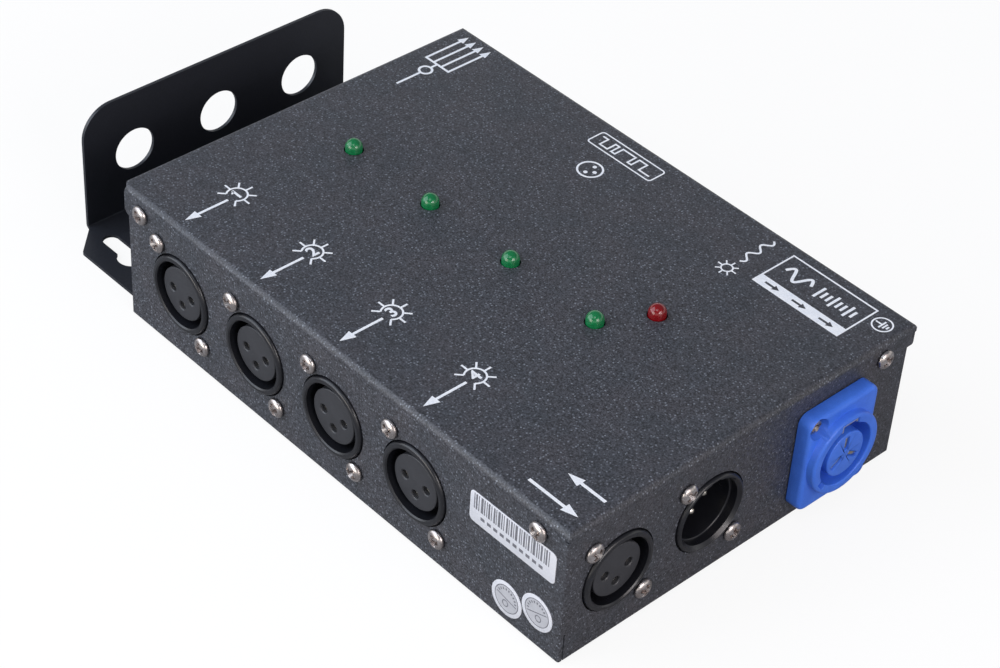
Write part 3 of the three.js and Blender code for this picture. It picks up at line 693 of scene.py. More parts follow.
outputNames = ["output_1", "output_2", "output_3", "output_4"]
panelSites = [("outputs", name) for name in outputNames] + [("end", "through"), ("end", "input")]
coverScrews = [
    ("outputs", "cover_screw_bracket_end"), ("outputs", "cover_screw_corner"), ("end", "cover_screw_end"),
]
fixingScrews = [
    (face, f"{name}_screw_{level}")
    for face, name in panelSites + [("end", "inlet")] for level in ("upper", "lower")
]
bracketScrews = ["bracket_screw_1", "bracket_screw_2"]
lampNames = ["output_lamp_1", "output_lamp_2", "output_lamp_3", "output_lamp_4", "power_lamp"]


# What is cut away outside the walls, all but the two short lips
def roomRoundLips():
    details = coverDetails
    underTop = caseTop - details["tipDepth"]
    setBack, lipRound = details["lipSetBack"], details["lipRound"]
    inset = details["sheet"] + setBack
    back, front = backLip - cutOverrun, halfLength + cutOverrun
    left, right = -halfWidth - cutOverrun, farLip + cutOverrun

    def lipOutline(start, stop, depth, shoulder):
        foot, top = caseTop - details[depth], underTop + slip
        return filleted([(start, foot, lipRound), (stop, foot, lipRound), (stop, top, 0),
                         (start, top, shoulder)])

    backOutline = lipOutline(setBack - halfWidth, farLip - inset, "backLipDepth", details["nearEarTop"])
    farOutline = lipOutline(backLip + inset, halfLength - setBack, "farLipDepth", 0)
    room = details["lipRoom"]
    backKept = prism(backOutline, back - room, -halfLength - room, quarterTurn @ upright)
    farKept = prism(farOutline, -right - room, -halfWidth - room, upright)
    cutAway = joined(block((back, left, -cutOverrun), (-halfLength, right, underTop)),
                     [block((back, halfWidth, -cutOverrun), (front, right, underTop))])
    return cut(cutAway, [backKept, farKept])


# The ears that close the lips' ends beside the output face and the end face
def lipEars():
    details = coverDetails
    setBack, inset, gap = details["lipSetBack"], details["earInset"], details["earGap"]
    top, nearTop = caseTop - inset, caseTop - details["tipDepth"] + inset
    backFoot, farFoot = caseTop - details["backLipDepth"], caseTop - details["farLipDepth"]
    near = filleted([
        (backLip + inset, backFoot, details["nearEarRound"]), (-halfLength - gap, backFoot, 0),
        (-halfLength - gap, nearTop, 0), (backLip + inset, nearTop, details["nearEarTop"]),
    ])
    far = filleted([
        (halfWidth + gap, farFoot, 0), (farLip - inset, farFoot, details["farEarRound"]),
        (farLip - inset, top, details["bendRadius"] - inset), (halfWidth + gap, top, 0),
    ])
    return [
        prism(near, halfWidth - setBack - details["sheet"], halfWidth - setBack, upright),
        prism(far, halfLength - setBack - details["farEarOverlap"], halfLength - details["farEarSetBack"],
              quarterTurn @ upright),
    ]


def makeCover():
    details = coverDetails
    soft, sheet, bendFoot = details["nearTipRound"], details["sheet"], caseTop - details["bendRadius"]
    plan = filleted([
        (backLip, -halfWidth, 0), (halfLength, -halfWidth, details["cornerRound"]),
        (halfLength, farLip, details["farTipRound"]), (backLip, farLip, details["backTipRound"]),
    ])
    outer = joined(foldedBlock(0, 0), [prism(plan, -cutOverrun, caseTop + cutOverrun)], "INTERSECT")
    tipKept = rod(soft, 0, caseTop + cutOverrun, 96, shifted(backLip + soft, soft - halfWidth))
    nearTip = cut(block((backLip - 1, -halfWidth - 1, caseTop - details["tipDepth"]),
                        (backLip + soft, soft - halfWidth, caseTop + 1)), [tipKept])
    seamStart = sheet - halfWidth
    tools = [
        foldedBlock(sheet, -cutOverrun),
        roomRoundLips(),
        nearTip,
        block((halfLength - details["seamDepth"], seamStart, -cutOverrun),
              (halfLength + cutOverrun, seamStart + details["seamWidth"], details["seamTop"])),
        block((halfLength - details["notchLength"], -halfWidth - cutOverrun,
               bendFoot - details["notchHeight"]),
              (halfLength + cutOverrun, details["notchReach"] - halfWidth, bendFoot)),
    ]
    depth = -sheet - cutOverrun
    for face, name in panelSites:
        tools.append(rod(details["collarHole"], depth, cutOverrun, 96, onPanel(face, name + "_socket")))
    tools.append(rod(details["inletHole"], depth, cutOverrun, 96, onPanel("end", "inlet_body")))
    for face, screw in coverScrews + fixingScrews:
        tools.append(rod(details["screwHole"], depth, cutOverrun, 24, onPanel(face, screw)))
    for lamp in lampNames:
        tools.append(rod(details["lampHole"], caseTop + depth, caseTop + cutOverrun, 48, above(lamp)))
    cover = softened(joined(cut(outer, tools), lipEars()), details["edge"])
    addPiece("folded_cover", cover, coverPaint, ["cover"])


# Base: floor and two walls folded up, with tabs behind the cover's screws
baseDetails = {
    "sheet": 1.2,
    "bendRadius": 1.6,
    "nearTabLength": 9,
    "tabLength": 12.5,
    "tabHeight": 9,
    "endTabInset": 9.4,
    "seamWidth": 0.3,
    "bushRadius": 2.9,
    "bushHeight": 1.6,
    "screwHole": 1.8,
    "edge": 0.12,
}


def makeBase():
    details = baseDetails
    sheet = details["sheet"]
    wallTop = caseTop - coverDetails["bendRadius"]
    left = -halfWidth + coverDetails["sheet"] + fitGap
    front = halfLength - coverDetails["sheet"] - fitGap
    tabFoot = wallTop - details["tabHeight"]
    endTabSide = halfWidth - details["endTabInset"] - details["tabLength"] / 2
    base = joined(block((-halfLength, left, 0), (front, halfWidth, sheet)), [
        block((-halfLength, left, 0), (sheet - halfLength, halfWidth, wallTop)),
        block((-halfLength, halfWidth - sheet, 0), (front, halfWidth, wallTop)),
        block((-halfLength, left, tabFoot), (details["nearTabLength"] - halfLength, left + sheet, wallTop)),
        block((front - details["tabLength"], left, 0), (front, left + sheet, wallTop)),
        block((front - sheet, endTabSide, tabFoot), (front, halfWidth, wallTop)),
    ])

    def onFloorFold(point):
        return abs(point.z) < slip and (point.x < slip - halfLength or point.y > halfWidth - slip)

    roundEdges(base, onFloorFold, details["bendRadius"], 6)
    bushTop = sheet + details["bushHeight"]
    for name in bracketScrews:
        joined(base, [rod(details["bushRadius"], sheet / 2, bushTop, 32, above(name))])
    seamX = sheet - halfLength
    tools = [block((seamX, halfWidth - sheet / 2, details["bendRadius"]),
                   (seamX + details["seamWidth"], halfWidth + cutOverrun, wallTop + cutOverrun))]
    for face, screw in coverScrews:
        tools.append(rod(details["screwHole"], -cutOverrun * 3, 0, 24, onPanel(face, screw)))
    for name in bracketScrews:
        tools.append(rod(details["screwHole"], -cutOverrun, cutOverrun * 3, 24, above(name)))
    softened(cut(base, tools), details["edge"])
    addPiece("folded_base", base, coverPaint, ["base"])


# Hanging bracket: an L folded from one sheet, with bolt holes, keyholes and countersinks
bracketDetails = {
    "sheet": 1,
    "reach": 40.5,
    "grip": 25,
    "rise": 39.5,
    "flangeWidth": 112.6,
    "uprightWidth": 96,
    "bend": 1.5,
    "bendSteps": 12,
    "uprightCorner": 10,
    "shoulderRound": 1,
    "gripCorner": 4,
    "hangHole": 6.75,
    "hangHoleHeight": 20,
    "hangHolePlaces": (-30.5, 0, 30.5),
    "keyhole": 4.4,
    "keySlot": 2.5,
    "keySlotReach": 10,
    "keyholeFromCase": 20.2,
    "keyholePlaces": (-46.6, 46.6),
    "sinkHead": 3.8,
    "sinkStart": 0.3,
    "screwHole": 1.8,
    "edge": 0.2,
}


def makeBracket():
    details = bracketDetails
    sheet, bend, rise = details["sheet"], details["bend"], details["rise"]
    back = -halfLength - details["reach"]
    front = -halfLength + details["grip"]
    wide, narrow = details["flangeWidth"] / 2, details["uprightWidth"] / 2
    axis = bend - sheet
    profile = ([(front, -sheet), (front, 0), (back + bend, 0)]
               + arc(back + bend, axis, axis, -90, -180, details["bendSteps"])
               + [(back + sheet, rise), (back, rise)]
               + arc(back + bend, axis, bend, 180, 270, details["bendSteps"]))
    bracket = prism(profile, -wide, wide, upright)
    shoulder = back + bend + wide - narrow
    soft, grip = details["shoulderRound"], details["gripCorner"]
    plan = filleted([
        (back, -narrow, 0), (back + bend, -narrow, 0), (shoulder, -wide, soft), (front, -wide, grip),
        (front, wide, grip), (shoulder, wide, soft), (back + bend, narrow, 0), (back, narrow, 0),
    ])
    joined(bracket, [prism(plan, -sheet - cutOverrun, rise + cutOverrun)], "INTERSECT")
    corner, behindCrown = details["uprightCorner"], back + sheet + 1
    crown = prism(filleted([
        (-narrow - cutOverrun, -cutOverrun * 3, 0), (narrow + cutOverrun, -cutOverrun * 3, 0),
        (narrow + cutOverrun, bend + cutOverrun, 0), (narrow, bend + cutOverrun, 0),
        (narrow, rise, corner), (-narrow, rise, corner),
        (-narrow, bend + cutOverrun, 0), (-narrow - cutOverrun, bend + cutOverrun, 0),
    ], 12), back - cutOverrun, behindCrown, quarterTurn @ upright)
    flange = block((behindCrown, -wide - cutOverrun, -sheet - cutOverrun),
                   (front + cutOverrun, wide + cutOverrun, rise))
    joined(bracket, [joined(crown, [flange])], "INTERSECT")
    tools = [
        rod(details["hangHole"], back - cutOverrun, back + sheet + cutOverrun, 72,
            quarterTurn @ upright @ shifted(place, details["hangHoleHeight"]))
        for place in details["hangHolePlaces"]
    ]
    keyX = -halfLength - details["keyholeFromCase"]
    slotX = keyX - details["keySlotReach"]
    low, high, slot = -sheet - cutOverrun, cutOverrun, details["keySlot"]
    for place in details["keyholePlaces"]:
        tools.append(rod(details["keyhole"], low, high, 64, shifted(keyX, place)))
        tools.append(rod(slot, low, high, 48, shifted(slotX, place)))
        tools.append(block((slotX, place - slot, low), (keyX, place + slot, high)))
    hole, sink, foot = details["screwHole"], details["sinkHead"], -sheet - details["sinkStart"]
    for name in bracketScrews:
        tools.append(spun([(0, foot), (sink, foot), (hole, 0), (hole, cutOverrun), (0, cutOverrun)],
                          48, above(name)))
    softened(cut(bracket, tools), details["edge"], 3)
    addPiece("folded_bracket", bracket, bracketPaint, ["hanging_bracket"])


# Screws: pan heads with a tapered cross recess, each one stopped at its own turn
screwDetails = {
    "headRadius": 2.8,
    "headHeight": 1.6,
    "headRim": 0.35,
    "headEdge": 0.1,
    "shank": 1.5,
    "reach": 9,
    "coverReach": 5.4,
    "recessStart": 0.5,
    "recessSpread": 1.25,
    "recessLength": 3.6,
    "recessWidth": 1.05,
    "recessDepth": 1.5,
    "floorLength": 2,
    "floorWidth": 0.75,
    "sinkRadius": 2.9,
    "sinkRim": 0.2,
    "sinkReach": 6,
    "sinkRecess": 0.7,
}
screwTurns = {
    "cover_screw_bracket_end": 12, "cover_screw_corner": 40, "cover_screw_end": 25,
    "output_1_screw_upper": 30, "output_1_screw_lower": 8, "output_2_screw_upper": 52,
    "output_2_screw_lower": 20, "output_3_screw_upper": 5, "output_3_screw_lower": 63,
    "output_4_screw_upper": 35, "output_4_screw_lower": 15, "through_screw_upper": 48,
    "through_screw_lower": 70, "input_screw_upper": 33, "input_screw_lower": 10,
    "inlet_screw_upper": 22, "inlet_screw_lower": 57, "bracket_screw_1": 0, "bracket_screw_2": 31,
}


def taperedSlot(high, length, width, low, lowLength, lowWidth):
    bm = bmesh.new()
    layers = []
    for z, long, wide in ((low, lowLength / 2, lowWidth / 2), (high, length / 2, width / 2)):
        layers.append([bm.verts.new((x, y, z)) for x, y in rectangle(-long, -wide, long, wide)])
    bm.faces.new(layers[0])
    bm.faces.new(layers[1])
    for index in range(4):
        follower = (index + 1) % 4
        bm.faces.new((layers[0][index], layers[0][follower], layers[1][follower], layers[1][index]))
    return meshObject(bm)


# The slots start a little over the head and are wider there, so that the cut is clean
def crossRecess(mouth, depth):
    details = screwDetails
    spread = details["recessSpread"]
    slots = [
        taperedSlot(mouth, details["recessLength"] * spread, details["recessWidth"] * spread,
                    depth, details["floorLength"], details["floorWidth"])
        for _ in range(2)
    ]
    slots[1].data.transform(quarterTurn)
    return joined(slots[0], [slots[1]])


def panScrew(reach):
    details = screwDetails
    radius, height, rim, shank = (details[key] for key in ("headRadius", "headHeight", "headRim", "shank"))
    edge = details["headEdge"]
    crown = [(radius * math.cos(turn), rim + (height - rim) * math.sin(turn))
             for turn in [math.pi / 2 * step / 10 for step in range(10)]]
    profile = [(0, -reach), (shank, -reach), (shank, 0), (radius - edge, 0), (radius, edge)] + crown
    screw = spun(profile + [(0, height)], 48)
    return cut(screw, [crossRecess(height + details["recessStart"], height - details["recessDepth"])])


def sinkScrew():
    details = screwDetails
    sheet, head, shank = bracketDetails["sheet"], details["sinkRadius"], details["shank"]
    tip = details["sinkReach"] - sheet
    screw = spun([(0, -sheet), (head, -sheet), (head, details["sinkRim"] - sheet), (shank, 0), (shank, tip),
                  (0, tip)], 48)
    recess = crossRecess(sheet + details["recessStart"], sheet - details["sinkRecess"])
    recess.data.transform(Matrix.Rotation(math.pi, 4, "X"))
    return cut(screw, [recess])


def makeScrews():
    for screws, reach in ((coverScrews, "coverReach"), (fixingScrews, "reach")):
        for face, name in screws:
            low, high = (inCase(corner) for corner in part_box(name))
            headTop = -low.y - halfWidth if face == "outputs" else high.x - halfLength
            place = onPanel(face, name, headTop - screwDetails["headHeight"]) @ turned(screwTurns[name])
            addAlike(reach, lambda: panScrew(screwDetails[reach]), name + "_plated", screwNickel,
                     [name], place)
    for name in bracketScrews:
        addAlike("sunk", sinkScrew, name + "_plated", screwNickel, [name],
                 above(name) @ turned(screwTurns[name]))


# Round connectors: housing with a collar in the panel, insert with three contacts
socketDetails = {
    "collar": 11.7,
    "proud": 1,
    "outerRound": 0.9,
    "backBevel": 0.3,
    "mouth": 9.9,
    "mouthBevel": 0.35,
    "depth": 19,
    "floor": 2,
    "flangeWidth": 26,
    "flangeHeight": 31,
    "flangeCorner": 3,
    "flangeBack": -3.9,
    "flangeFront": -1.5,
    "flangeEdge": 0.3,
    "screwSpots": ((-9.5, 12), (9.5, -12)),
    "screwHole": 1.8,
    "insert": 8,
    "insertFace": -0.3,
    "insertRound": 0.3,
    "contactCircle": 4,
    "hole": 1.3,
    "holeBevel": 0.25,
    "holeDepth": 8,
    "tube": 1.2,
    "tubeBore": 0.85,
    "tubeFace": -1.5,
    "tubeGap": 0.1,
    "tubeBevel": 0.1,
    "tubeBevelDepth": 0.2,
}
contactPlaces = [
    (-socketDetails["contactCircle"], 0), (socketDetails["contactCircle"], 0),
    (0, -socketDetails["contactCircle"]),
]
inputDetails = {
    "stepDepth": 2,
    "stepWidth": 0.6,
    "stepRound": 0.4,
    "mouthBevel": 0.9,
    "notchWidth": 3.2,
    "notchDepth": 1.1,
    "notchReach": 4,
    "pin": 1.2,
    "pinTip": -5.1,
    "pinTail": -23,
    "pinHole": 1.5,
}


def socketHousing(cavity, mouthBevel):
    details = socketDetails
    collar, proud, soft = details["collar"], details["proud"], details["outerRound"]
    depth, mouth, bevel = details["depth"], details["mouth"], details["backBevel"]
    outside = [(0, -depth), (collar - bevel, -depth), (collar, bevel - depth)]
    outside += arc(collar - soft, proud - soft, soft, 0, 90, 5) + [(0, proud)]
    housing = spun(outside, 96)
    flange = prism(roundedRectangle(details["flangeWidth"], details["flangeHeight"],
                                    details["flangeCorner"]), details["flangeBack"], details["flangeFront"])
    bore = cavity + [(mouth, proud - mouthBevel), (mouth + mouthBevel, proud),
                     (mouth + mouthBevel, proud + cutOverrun), (0, proud + cutOverrun)]
    tools = [spun(bore, 96)]
    for x, y in details["screwSpots"]:
        tools.append(rod(details["screwHole"], -depth, 0, 24, shifted(x, y)))
    return cut(joined(housing, [softened(flange, details["flangeEdge"])]), tools)


def femaleHousing():
    details = socketDetails
    floor = details["floor"] - details["depth"]
    return socketHousing([(0, floor), (details["mouth"], floor)], details["mouthBevel"])


def femaleInsert():
    details = socketDetails
    radius, face, soft = details["insert"], details["insertFace"], details["insertRound"]
    foot = details["floor"] - details["depth"] + fitGap
    insert = spun([(0, foot), (radius, foot)] + arc(radius - soft, face - soft, soft, 0, 90, 4)
                  + [(0, face)], 96)
    hole, bevel, depth = details["hole"], details["holeBevel"], details["holeDepth"]
    drill = [(0, face - depth), (hole, face - depth), (hole, face - bevel), (hole + bevel, face),
             (hole + bevel, face + 1), (0, face + 1)]
    return cut(insert, [spun(drill, 40, shifted(x, y)) for x, y in contactPlaces])


def femaleContacts():
    details = socketDetails
    low, face = details["insertFace"] - details["holeDepth"] + details["tubeGap"], details["tubeFace"]
    bore, outer = details["tubeBore"], details["tube"]
    profile = [(bore, low), (outer, low), (outer, face), (bore + details["tubeBevel"], face),
               (bore, face - details["tubeBevelDepth"])]
    return merged([spun(profile, 32, shifted(x, y), closed=True) for x, y in contactPlaces])


def makeFemaleSockets():
    for face, name in panelSites:
        if name == "input":
            continue
        place = onPanel(face, name + "_socket")
        addAlike("housing", femaleHousing, name + "_housing", glossNylon,
                 [name + "_socket"], place)
        addAlike("core", femaleInsert, name + "_core", darkNylon,
                 [name + "_insert"], place)
        addAlike("contacts", femaleContacts, name + "_contacts", silverBrass, (), place)


def turnedPin():
    own = inputDetails
    radius, tip, tail = own["pin"], own["pinTip"], own["pinTail"]
    nose = [(radius * math.cos(turn), tip - radius + radius * math.sin(turn))
            for turn in [math.pi / 2 * step / 8 for step in range(8)]]
    return spun([(0, tail), (radius, tail)] + nose + [(0, tip)], 40)


def makeInput():
    details, own = socketDetails, inputDetails
    mouth, proud, depth = details["mouth"], details["proud"], details["depth"]
    floor, soft = details["floor"] - depth, own["stepRound"]
    step, ledge = mouth - own["stepWidth"], -own["stepDepth"]
    cavity = [(0, floor), (step, floor)]
    cavity += arc(step + soft, ledge - soft, soft, 180, 90, 5) + [(mouth, ledge)]
    housing = socketHousing(cavity, own["mouthBevel"])
    half = own["notchWidth"] / 2
    tools = [block((-half, mouth - 1, proud - own["notchReach"]),
                   (half, mouth + own["notchDepth"], proud + 1))]
    tools += [rod(own["pinHole"], -depth - 1, floor + 1, 32, shifted(x, y)) for x, y in contactPlaces]
    place = onPanel("end", "input_socket")
    addPiece("input_housing", cut(housing, tools), glossNylon, ["input_socket"], place)
    for index, (x, y) in enumerate(contactPlaces):
        node = f"input_pin_{index + 1}"
        addAlike("pin", turnedPin, node + "_turned", silverBrass, [node],
                 place @ shifted(x, y))


# Power inlet: thick flange, raised ring, keyed mouth with a steel strip, core with three blades
inletDetails = {
    "seat": 0.3,
    "flangeThick": 4.8,
    "flangeRound": 1.3,
    "ring": 12.3,
    "ringProud": 2.5,
    "ringRound": 0.9,
    "mouth": 9.5,
    "mouthRound": 0.5,
    "barrel": 11.6,
    "depth": 18,
    "floor": 2,
    "counterbore": 3.2,
    "counterboreDepth": 3,
    "edge": 0.12,
    "sharperThan": 50,
    "keyWidth": 6.4,
    "keyDepth": 1.6,
    "sideKeyWidth": 3,
    "sideKeyTurn": 216,
    "stripLength": 12,
    "stripThick": 0.5,
    "stripNearLeg": 2.1,
    "stripFarLeg": 0.9,
    "stripEdge": 0.1,
    "core": 6.9,
    "coreRecess": 0.3,
    "coreRound": 0.4,
    "coreEdge": 0.15,
    "slotWidth": 1.7,
    "slotInner": 1.3,
    "slotOuter": 5.6,
    "slotDepth": 9,
    "slotTurns": (90, 210, 330),
    "bladeThick": 1.0,
    "bladeRecess": 0.4,
}


def inletShell(face, cavityFloor, keyFloor):
    details, shared = inletDetails, socketDetails
    thick, depth, barrel = details["flangeThick"], details["depth"], details["barrel"]
    outline = roundedRectangle(shared["flangeWidth"], shared["flangeHeight"], shared["flangeCorner"], 10)
    flange = prism(outline, details["seat"], thick)
    roundEdges(flange, lambda corner: corner.z > thick - slip, details["flangeRound"], 6)
    outer, soft = details["ring"], details["ringRound"]
    shell = spun([(0, -depth), (barrel, -depth), (barrel, thick / 2), (outer, thick / 2)]
                 + arc(outer - soft, face - soft, soft, 0, 90, 6) + [(0, face)], 96)
    mouth, lip = details["mouth"], details["mouthRound"]
    cavity = spun([(0, cavityFloor), (mouth, cavityFloor)] + arc(mouth + lip, face - lip, lip, 180, 90, 5)
                  + [(mouth + lip, face + cutOverrun), (0, face + cutOverrun)], 96)
    keyReach = mouth + details["keyDepth"]
    keyHalf, sideHalf = details["keyWidth"] / 2, details["sideKeyWidth"] / 2
    tools = [
        cavity,
        block((-keyHalf, 0, keyFloor), (keyHalf, keyReach, face + cutOverrun)),
        block((0, -sideHalf, keyFloor), (keyReach, sideHalf, face + cutOverrun),
              turned(details["sideKeyTurn"])),
    ]
    boreFloor = thick - details["counterboreDepth"]
    for x, y in shared["screwSpots"]:
        tools.append(rod(details["counterbore"], boreFloor, face + cutOverrun, 48, shifted(x, y)))
        tools.append(rod(shared["screwHole"], -cutOverrun, face, 32, shifted(x, y)))
    return softened(cut(joined(shell, [flange]), tools), details["edge"], 2, details["sharperThan"])


def inletCore(coreTop, cavityFloor):
    details = inletDetails
    radius, soft, half = details["core"], details["coreRound"], details["slotWidth"] / 2
    core = spun([(0, cavityFloor + fitGap), (radius, cavityFloor + fitGap)]
                + arc(radius - soft, coreTop - soft, soft, 0, 90, 4) + [(0, coreTop)], 72)
    slots = [block((details["slotInner"], -half, coreTop - details["slotDepth"]),
                   (details["slotOuter"], half, coreTop + cutOverrun), turned(turn))
             for turn in details["slotTurns"]]
    return softened(cut(core, slots), details["coreEdge"], 2, details["sharperThan"])


def makeInlet():
    details = inletDetails
    place = onPanel("end", "inlet_body")
    face = details["flangeThick"] + details["ringProud"]
    cavityFloor = details["floor"] - details["depth"]
    keyFloor = face - details["stripLength"] - fitGap
    addPiece("inlet_shell", inletShell(face, cavityFloor, keyFloor), blueNylon,
             ["inlet_body"], place)
    coreTop = face - details["coreRecess"]
    addPiece("inlet_plug_core", inletCore(coreTop, cavityFloor), blueNylon,
             ["inlet_core"], place)
    half = details["bladeThick"] / 2
    for index, turn in enumerate(details["slotTurns"]):
        node = f"inlet_blade_{index + 1}"
        blade = block((details["slotInner"] + fitGap, -half, coreTop - details["slotDepth"] + fitGap),
                      (details["slotOuter"] - fitGap, half, coreTop - details["bladeRecess"]))
        addPiece(node + "_stamped", softened(blade, details["coreEdge"]), silverBrass,
                 [node], place @ turned(turn))
    thick = details["stripThick"]
    side = (details["keyWidth"] - thick) / 2 - fitGap
    top = details["mouth"] + details["keyDepth"] - fitGap - thick / 2
    fold = stroke([(-side, top - details["stripNearLeg"]), (-side, top), (side, top),
                   (side, top - details["stripFarLeg"])], thick)
    strip = softened(prism(fold, keyFloor + fitGap, face - fitGap), details["stripEdge"])
    addPiece("inlet_spring_strip", strip, stampedSteel, ["inlet_latch_strip"], place)


# Lamps: a cast lens with a rim, on two square legs
lampDetails = {
    "radius": 2.5,
    "rise": 3.4,
    "length": 7.6,
    "rimRadius": 2.9,
    "rimHeight": 1,
    "legSpan": 2.54,
    "legWidth": 0.6,
    "legGap": 0.02,
    "stemRadius": 0.5,
    "stemFoot": 1,
    "cupRadius": 1.1,
    "cupWall": 0.2,
    "cupUnder": 3.2,
    "cupTop": 2.4,
    "cupFloor": 2.9,
    "cupFloorRadius": 0.35,
}


def lampLens():
    details = lampDetails
    radius, rim, top = details["radius"], details["rimRadius"], caseTop + details["rise"]
    rimTop = top - details["length"]
    rimFoot = rimTop - details["rimHeight"]
    return spun([(0, rimFoot), (rim, rimFoot), (rim, rimTop), (radius, rimTop)]
                + arc(0, top - radius, radius, 0, 84, 14) + [(0, top)], 48)


# Two legs under the rim, and the small reflector cup that glints inside the lens
def lampMetal():
    details = lampDetails
    top = caseTop + details["rise"]
    rimTop = top - details["length"]
    legTop = rimTop - details["rimHeight"] - details["legGap"]
    legFoot = inCase(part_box(lampNames[0])[0]).z
    half = details["legWidth"] / 2
    legs = [block((middle - half, -half, legFoot), (middle + half, half, legTop))
            for middle in (-details["legSpan"] / 2, details["legSpan"] / 2)]
    stem, foot, cup = details["stemRadius"], rimTop + details["stemFoot"], details["cupRadius"]
    cupTop, cupFloor = top - details["cupTop"], top - details["cupFloor"]
    reflector = spun([(0, foot), (stem, foot), (stem, top - details["cupUnder"]), (cup, cupTop),
                      (cup - details["cupWall"], cupTop), (details["cupFloorRadius"], cupFloor),
                      (0, cupFloor)], 32)
    return merged(legs + [reflector])


def makeLamps():
    for name in lampNames:
        red = name == "power_lamp"
        lens = addAlike("lens", lampLens, name + "_lens", greenEpoxy,
                        [name], above(name))
        addAlike("lampMetal", lampMetal, name + "_legs", silverBrass, (), above(name))
        if red:
            lens.data = lens.data.copy()
            lens.data.materials[0] = redEpoxy


# Print on the top, all plain signs: numbers, lamps, arrows, a one-to-four diagram
printDetails = {
    "lift": 0.04,
    "line": 0.55,
    "numberSize": 5.2,
    "numberGrow": 0.13,
    "outputX": -66.1,
    "pitch": 32,
    "signY": -39.8,
    "signRing": 2.9,
    "ringStart": -45,
    "ringEnd": 225,
    "rayCount": 7,
    "rayReach": 5.3,
    "arrowShift": 0.4,
    "arrowStart": -43.2,
    "arrowEnd": -57.6,
    "arrowLine": 0.8,
    "arrowHead": (4.4, 3),
    "flag": ((-1.8, 0.1), (-0.9, -1)),
}
inkLow, inkHigh = caseTop - 0.01, caseTop + printDetails["lift"]


def inkShape(outline):
    return prism(outline, inkLow, inkHigh)


def inkRing(x, y, radius, width):
    return ring(radius - width / 2, radius + width / 2, inkLow, inkHigh, 64, shifted(x, y))


# A cutter that leaves bare coat inside an inked shape
def inkGap(outline):
    return prism(outline, inkLow - 1, inkHigh + 1)


def inkRays(x, y, turns, start, end, width):
    middle = Vector((x, y))
    aims = [Vector((math.cos(math.radians(turn)), math.sin(math.radians(turn)))) for turn in turns]
    return [inkShape(stroke([middle + aim * start, middle + aim * end], width)) for aim in aims]


def addPrint(name, thing):
    addPiece("print_" + name, thing, whiteInk)


def number(text, x, y):
    curve = bpy.data.curves.new("number", "FONT")
    curve.body = text
    curve.size = printDetails["numberSize"]
    curve.align_x = "CENTER"
    curve.align_y = "CENTER"
    curve.offset = printDetails["numberGrow"]
    curve.extrude = (inkHigh - inkLow) / 2
    thing = bpy.data.objects.new("number", curve)
    bpy.context.scene.collection.objects.link(thing)
    graph = bpy.context.evaluated_depsgraph_get()
    mesh = bpy.data.meshes.new_from_object(thing.evaluated_get(graph), depsgraph=graph)
    bm = bmesh.new()
    bm.from_mesh(mesh)
    bmesh.ops.remove_doubles(bm, verts=bm.verts, dist=0.001)
    bpy.data.meshes.remove(mesh)
    bpy.data.objects.remove(thing)
    bpy.data.curves.remove(curve)
    return meshObject(bm, shifted(x, y, (inkLow + inkHigh) / 2) @ quarterTurn)


def makeOutputSigns():
    details = printDetails
    line, radius, y = details["line"], details["signRing"], details["signY"]
    first, last, count = details["ringStart"], details["ringEnd"], details["rayCount"]
    turns = [first + (last - first) * index / (count - 1) for index in range(count)]
    for index in range(4):
        x = details["outputX"] + details["pitch"] * index
        sign = inkShape(arc(x, y, radius + line / 2, first, last, 40)
                        + arc(x, y, radius - line / 2, last, first, 40))
        joined(sign, inkRays(x, y, turns, radius, details["rayReach"], line))
        arrowX = x + details["arrowShift"]
        pointer = inkShape(arrow((arrowX, details["arrowStart"]), (arrowX, details["arrowEnd"]),
                                 details["arrowLine"], *details["arrowHead"]))
        parts = [sign, pointer, number(str(index + 1), x, y)]
        if index == 0:
            flag = [(x + flagX, y + flagY) for flagX, flagY in details["flag"]]
            parts.append(inkShape(stroke(flag, line)))
        addPrint(f"output_{index + 1}", merged(parts))


diagramDetails = {  # one line in, four out
    "start": 28.5,
    "middle": -79.6,
    "ringY": 39.5,
    "ringRadius": 1.9,
    "bus": 44,
    "end": 60.6,
    "rows": (-84.4, -81.2, -78, -74.8),
    "line": 0.75,
    "arrowHead": (3.4, 2.5),
}


def makeDiagram():
    details = diagramDetails
    line, middle, bus, rows = details["line"], details["middle"], details["bus"], details["rows"]
    ringY, radius = details["ringY"], details["ringRadius"]
    start = inkShape(stroke([(middle, details["start"]), (middle, ringY - radius)], line))
    circle = inkRing(middle, ringY, radius, line)
    link = inkShape(stroke([(middle, ringY + radius), (middle, bus)], line))
    spine = inkShape(stroke([(rows[0] - line / 2, bus), (rows[-1] + line / 2, bus)], line))
    branches = [inkShape(arrow((row, bus), (row, details["end"]), line, *details["arrowHead"]))
                for row in rows]
    addPrint("one_to_four", joined(spine, [start, circle, link] + branches))


ratingDetails = {  # the frame beside the inlet: a supply wave and ticks over a band with three arrows
    "low": (46.7, 43),
    "high": (76.8, 59.5),
    "line": 0.5,
    "band": 4,
    "arrowStarts": (3, 12.5, 22),
    "arrowLength": 5,
    "arrowLine": 0.8,
    "arrowHead": (2, 2.2),
    "waveStart": 3,
    "waveLength": 9,
    "waveHeight": 2.3,
    "wavePeriods": 1.5,
    "waveLine": 0.9,
    "tickStart": 15,
    "tickPitch": 1.7,
    "tickReaches": (2.6, 1.5, 1.5, 2.6, 1.5, 1.5, 2.6, 1.5),
    "tickLine": 0.8,
}
earthDetails = {
    "middle": (81.1, 55.9),
    "ring": 2.8,
    "ringLine": 0.45,
    "line": 0.5,
    "barPitch": 0.9,
    "barReaches": (1.6, 1.1, 0.6),
    "stem": 2.1,
    "stemTip": (2.2, 2),
    "stemTipLine": 0.4,
}


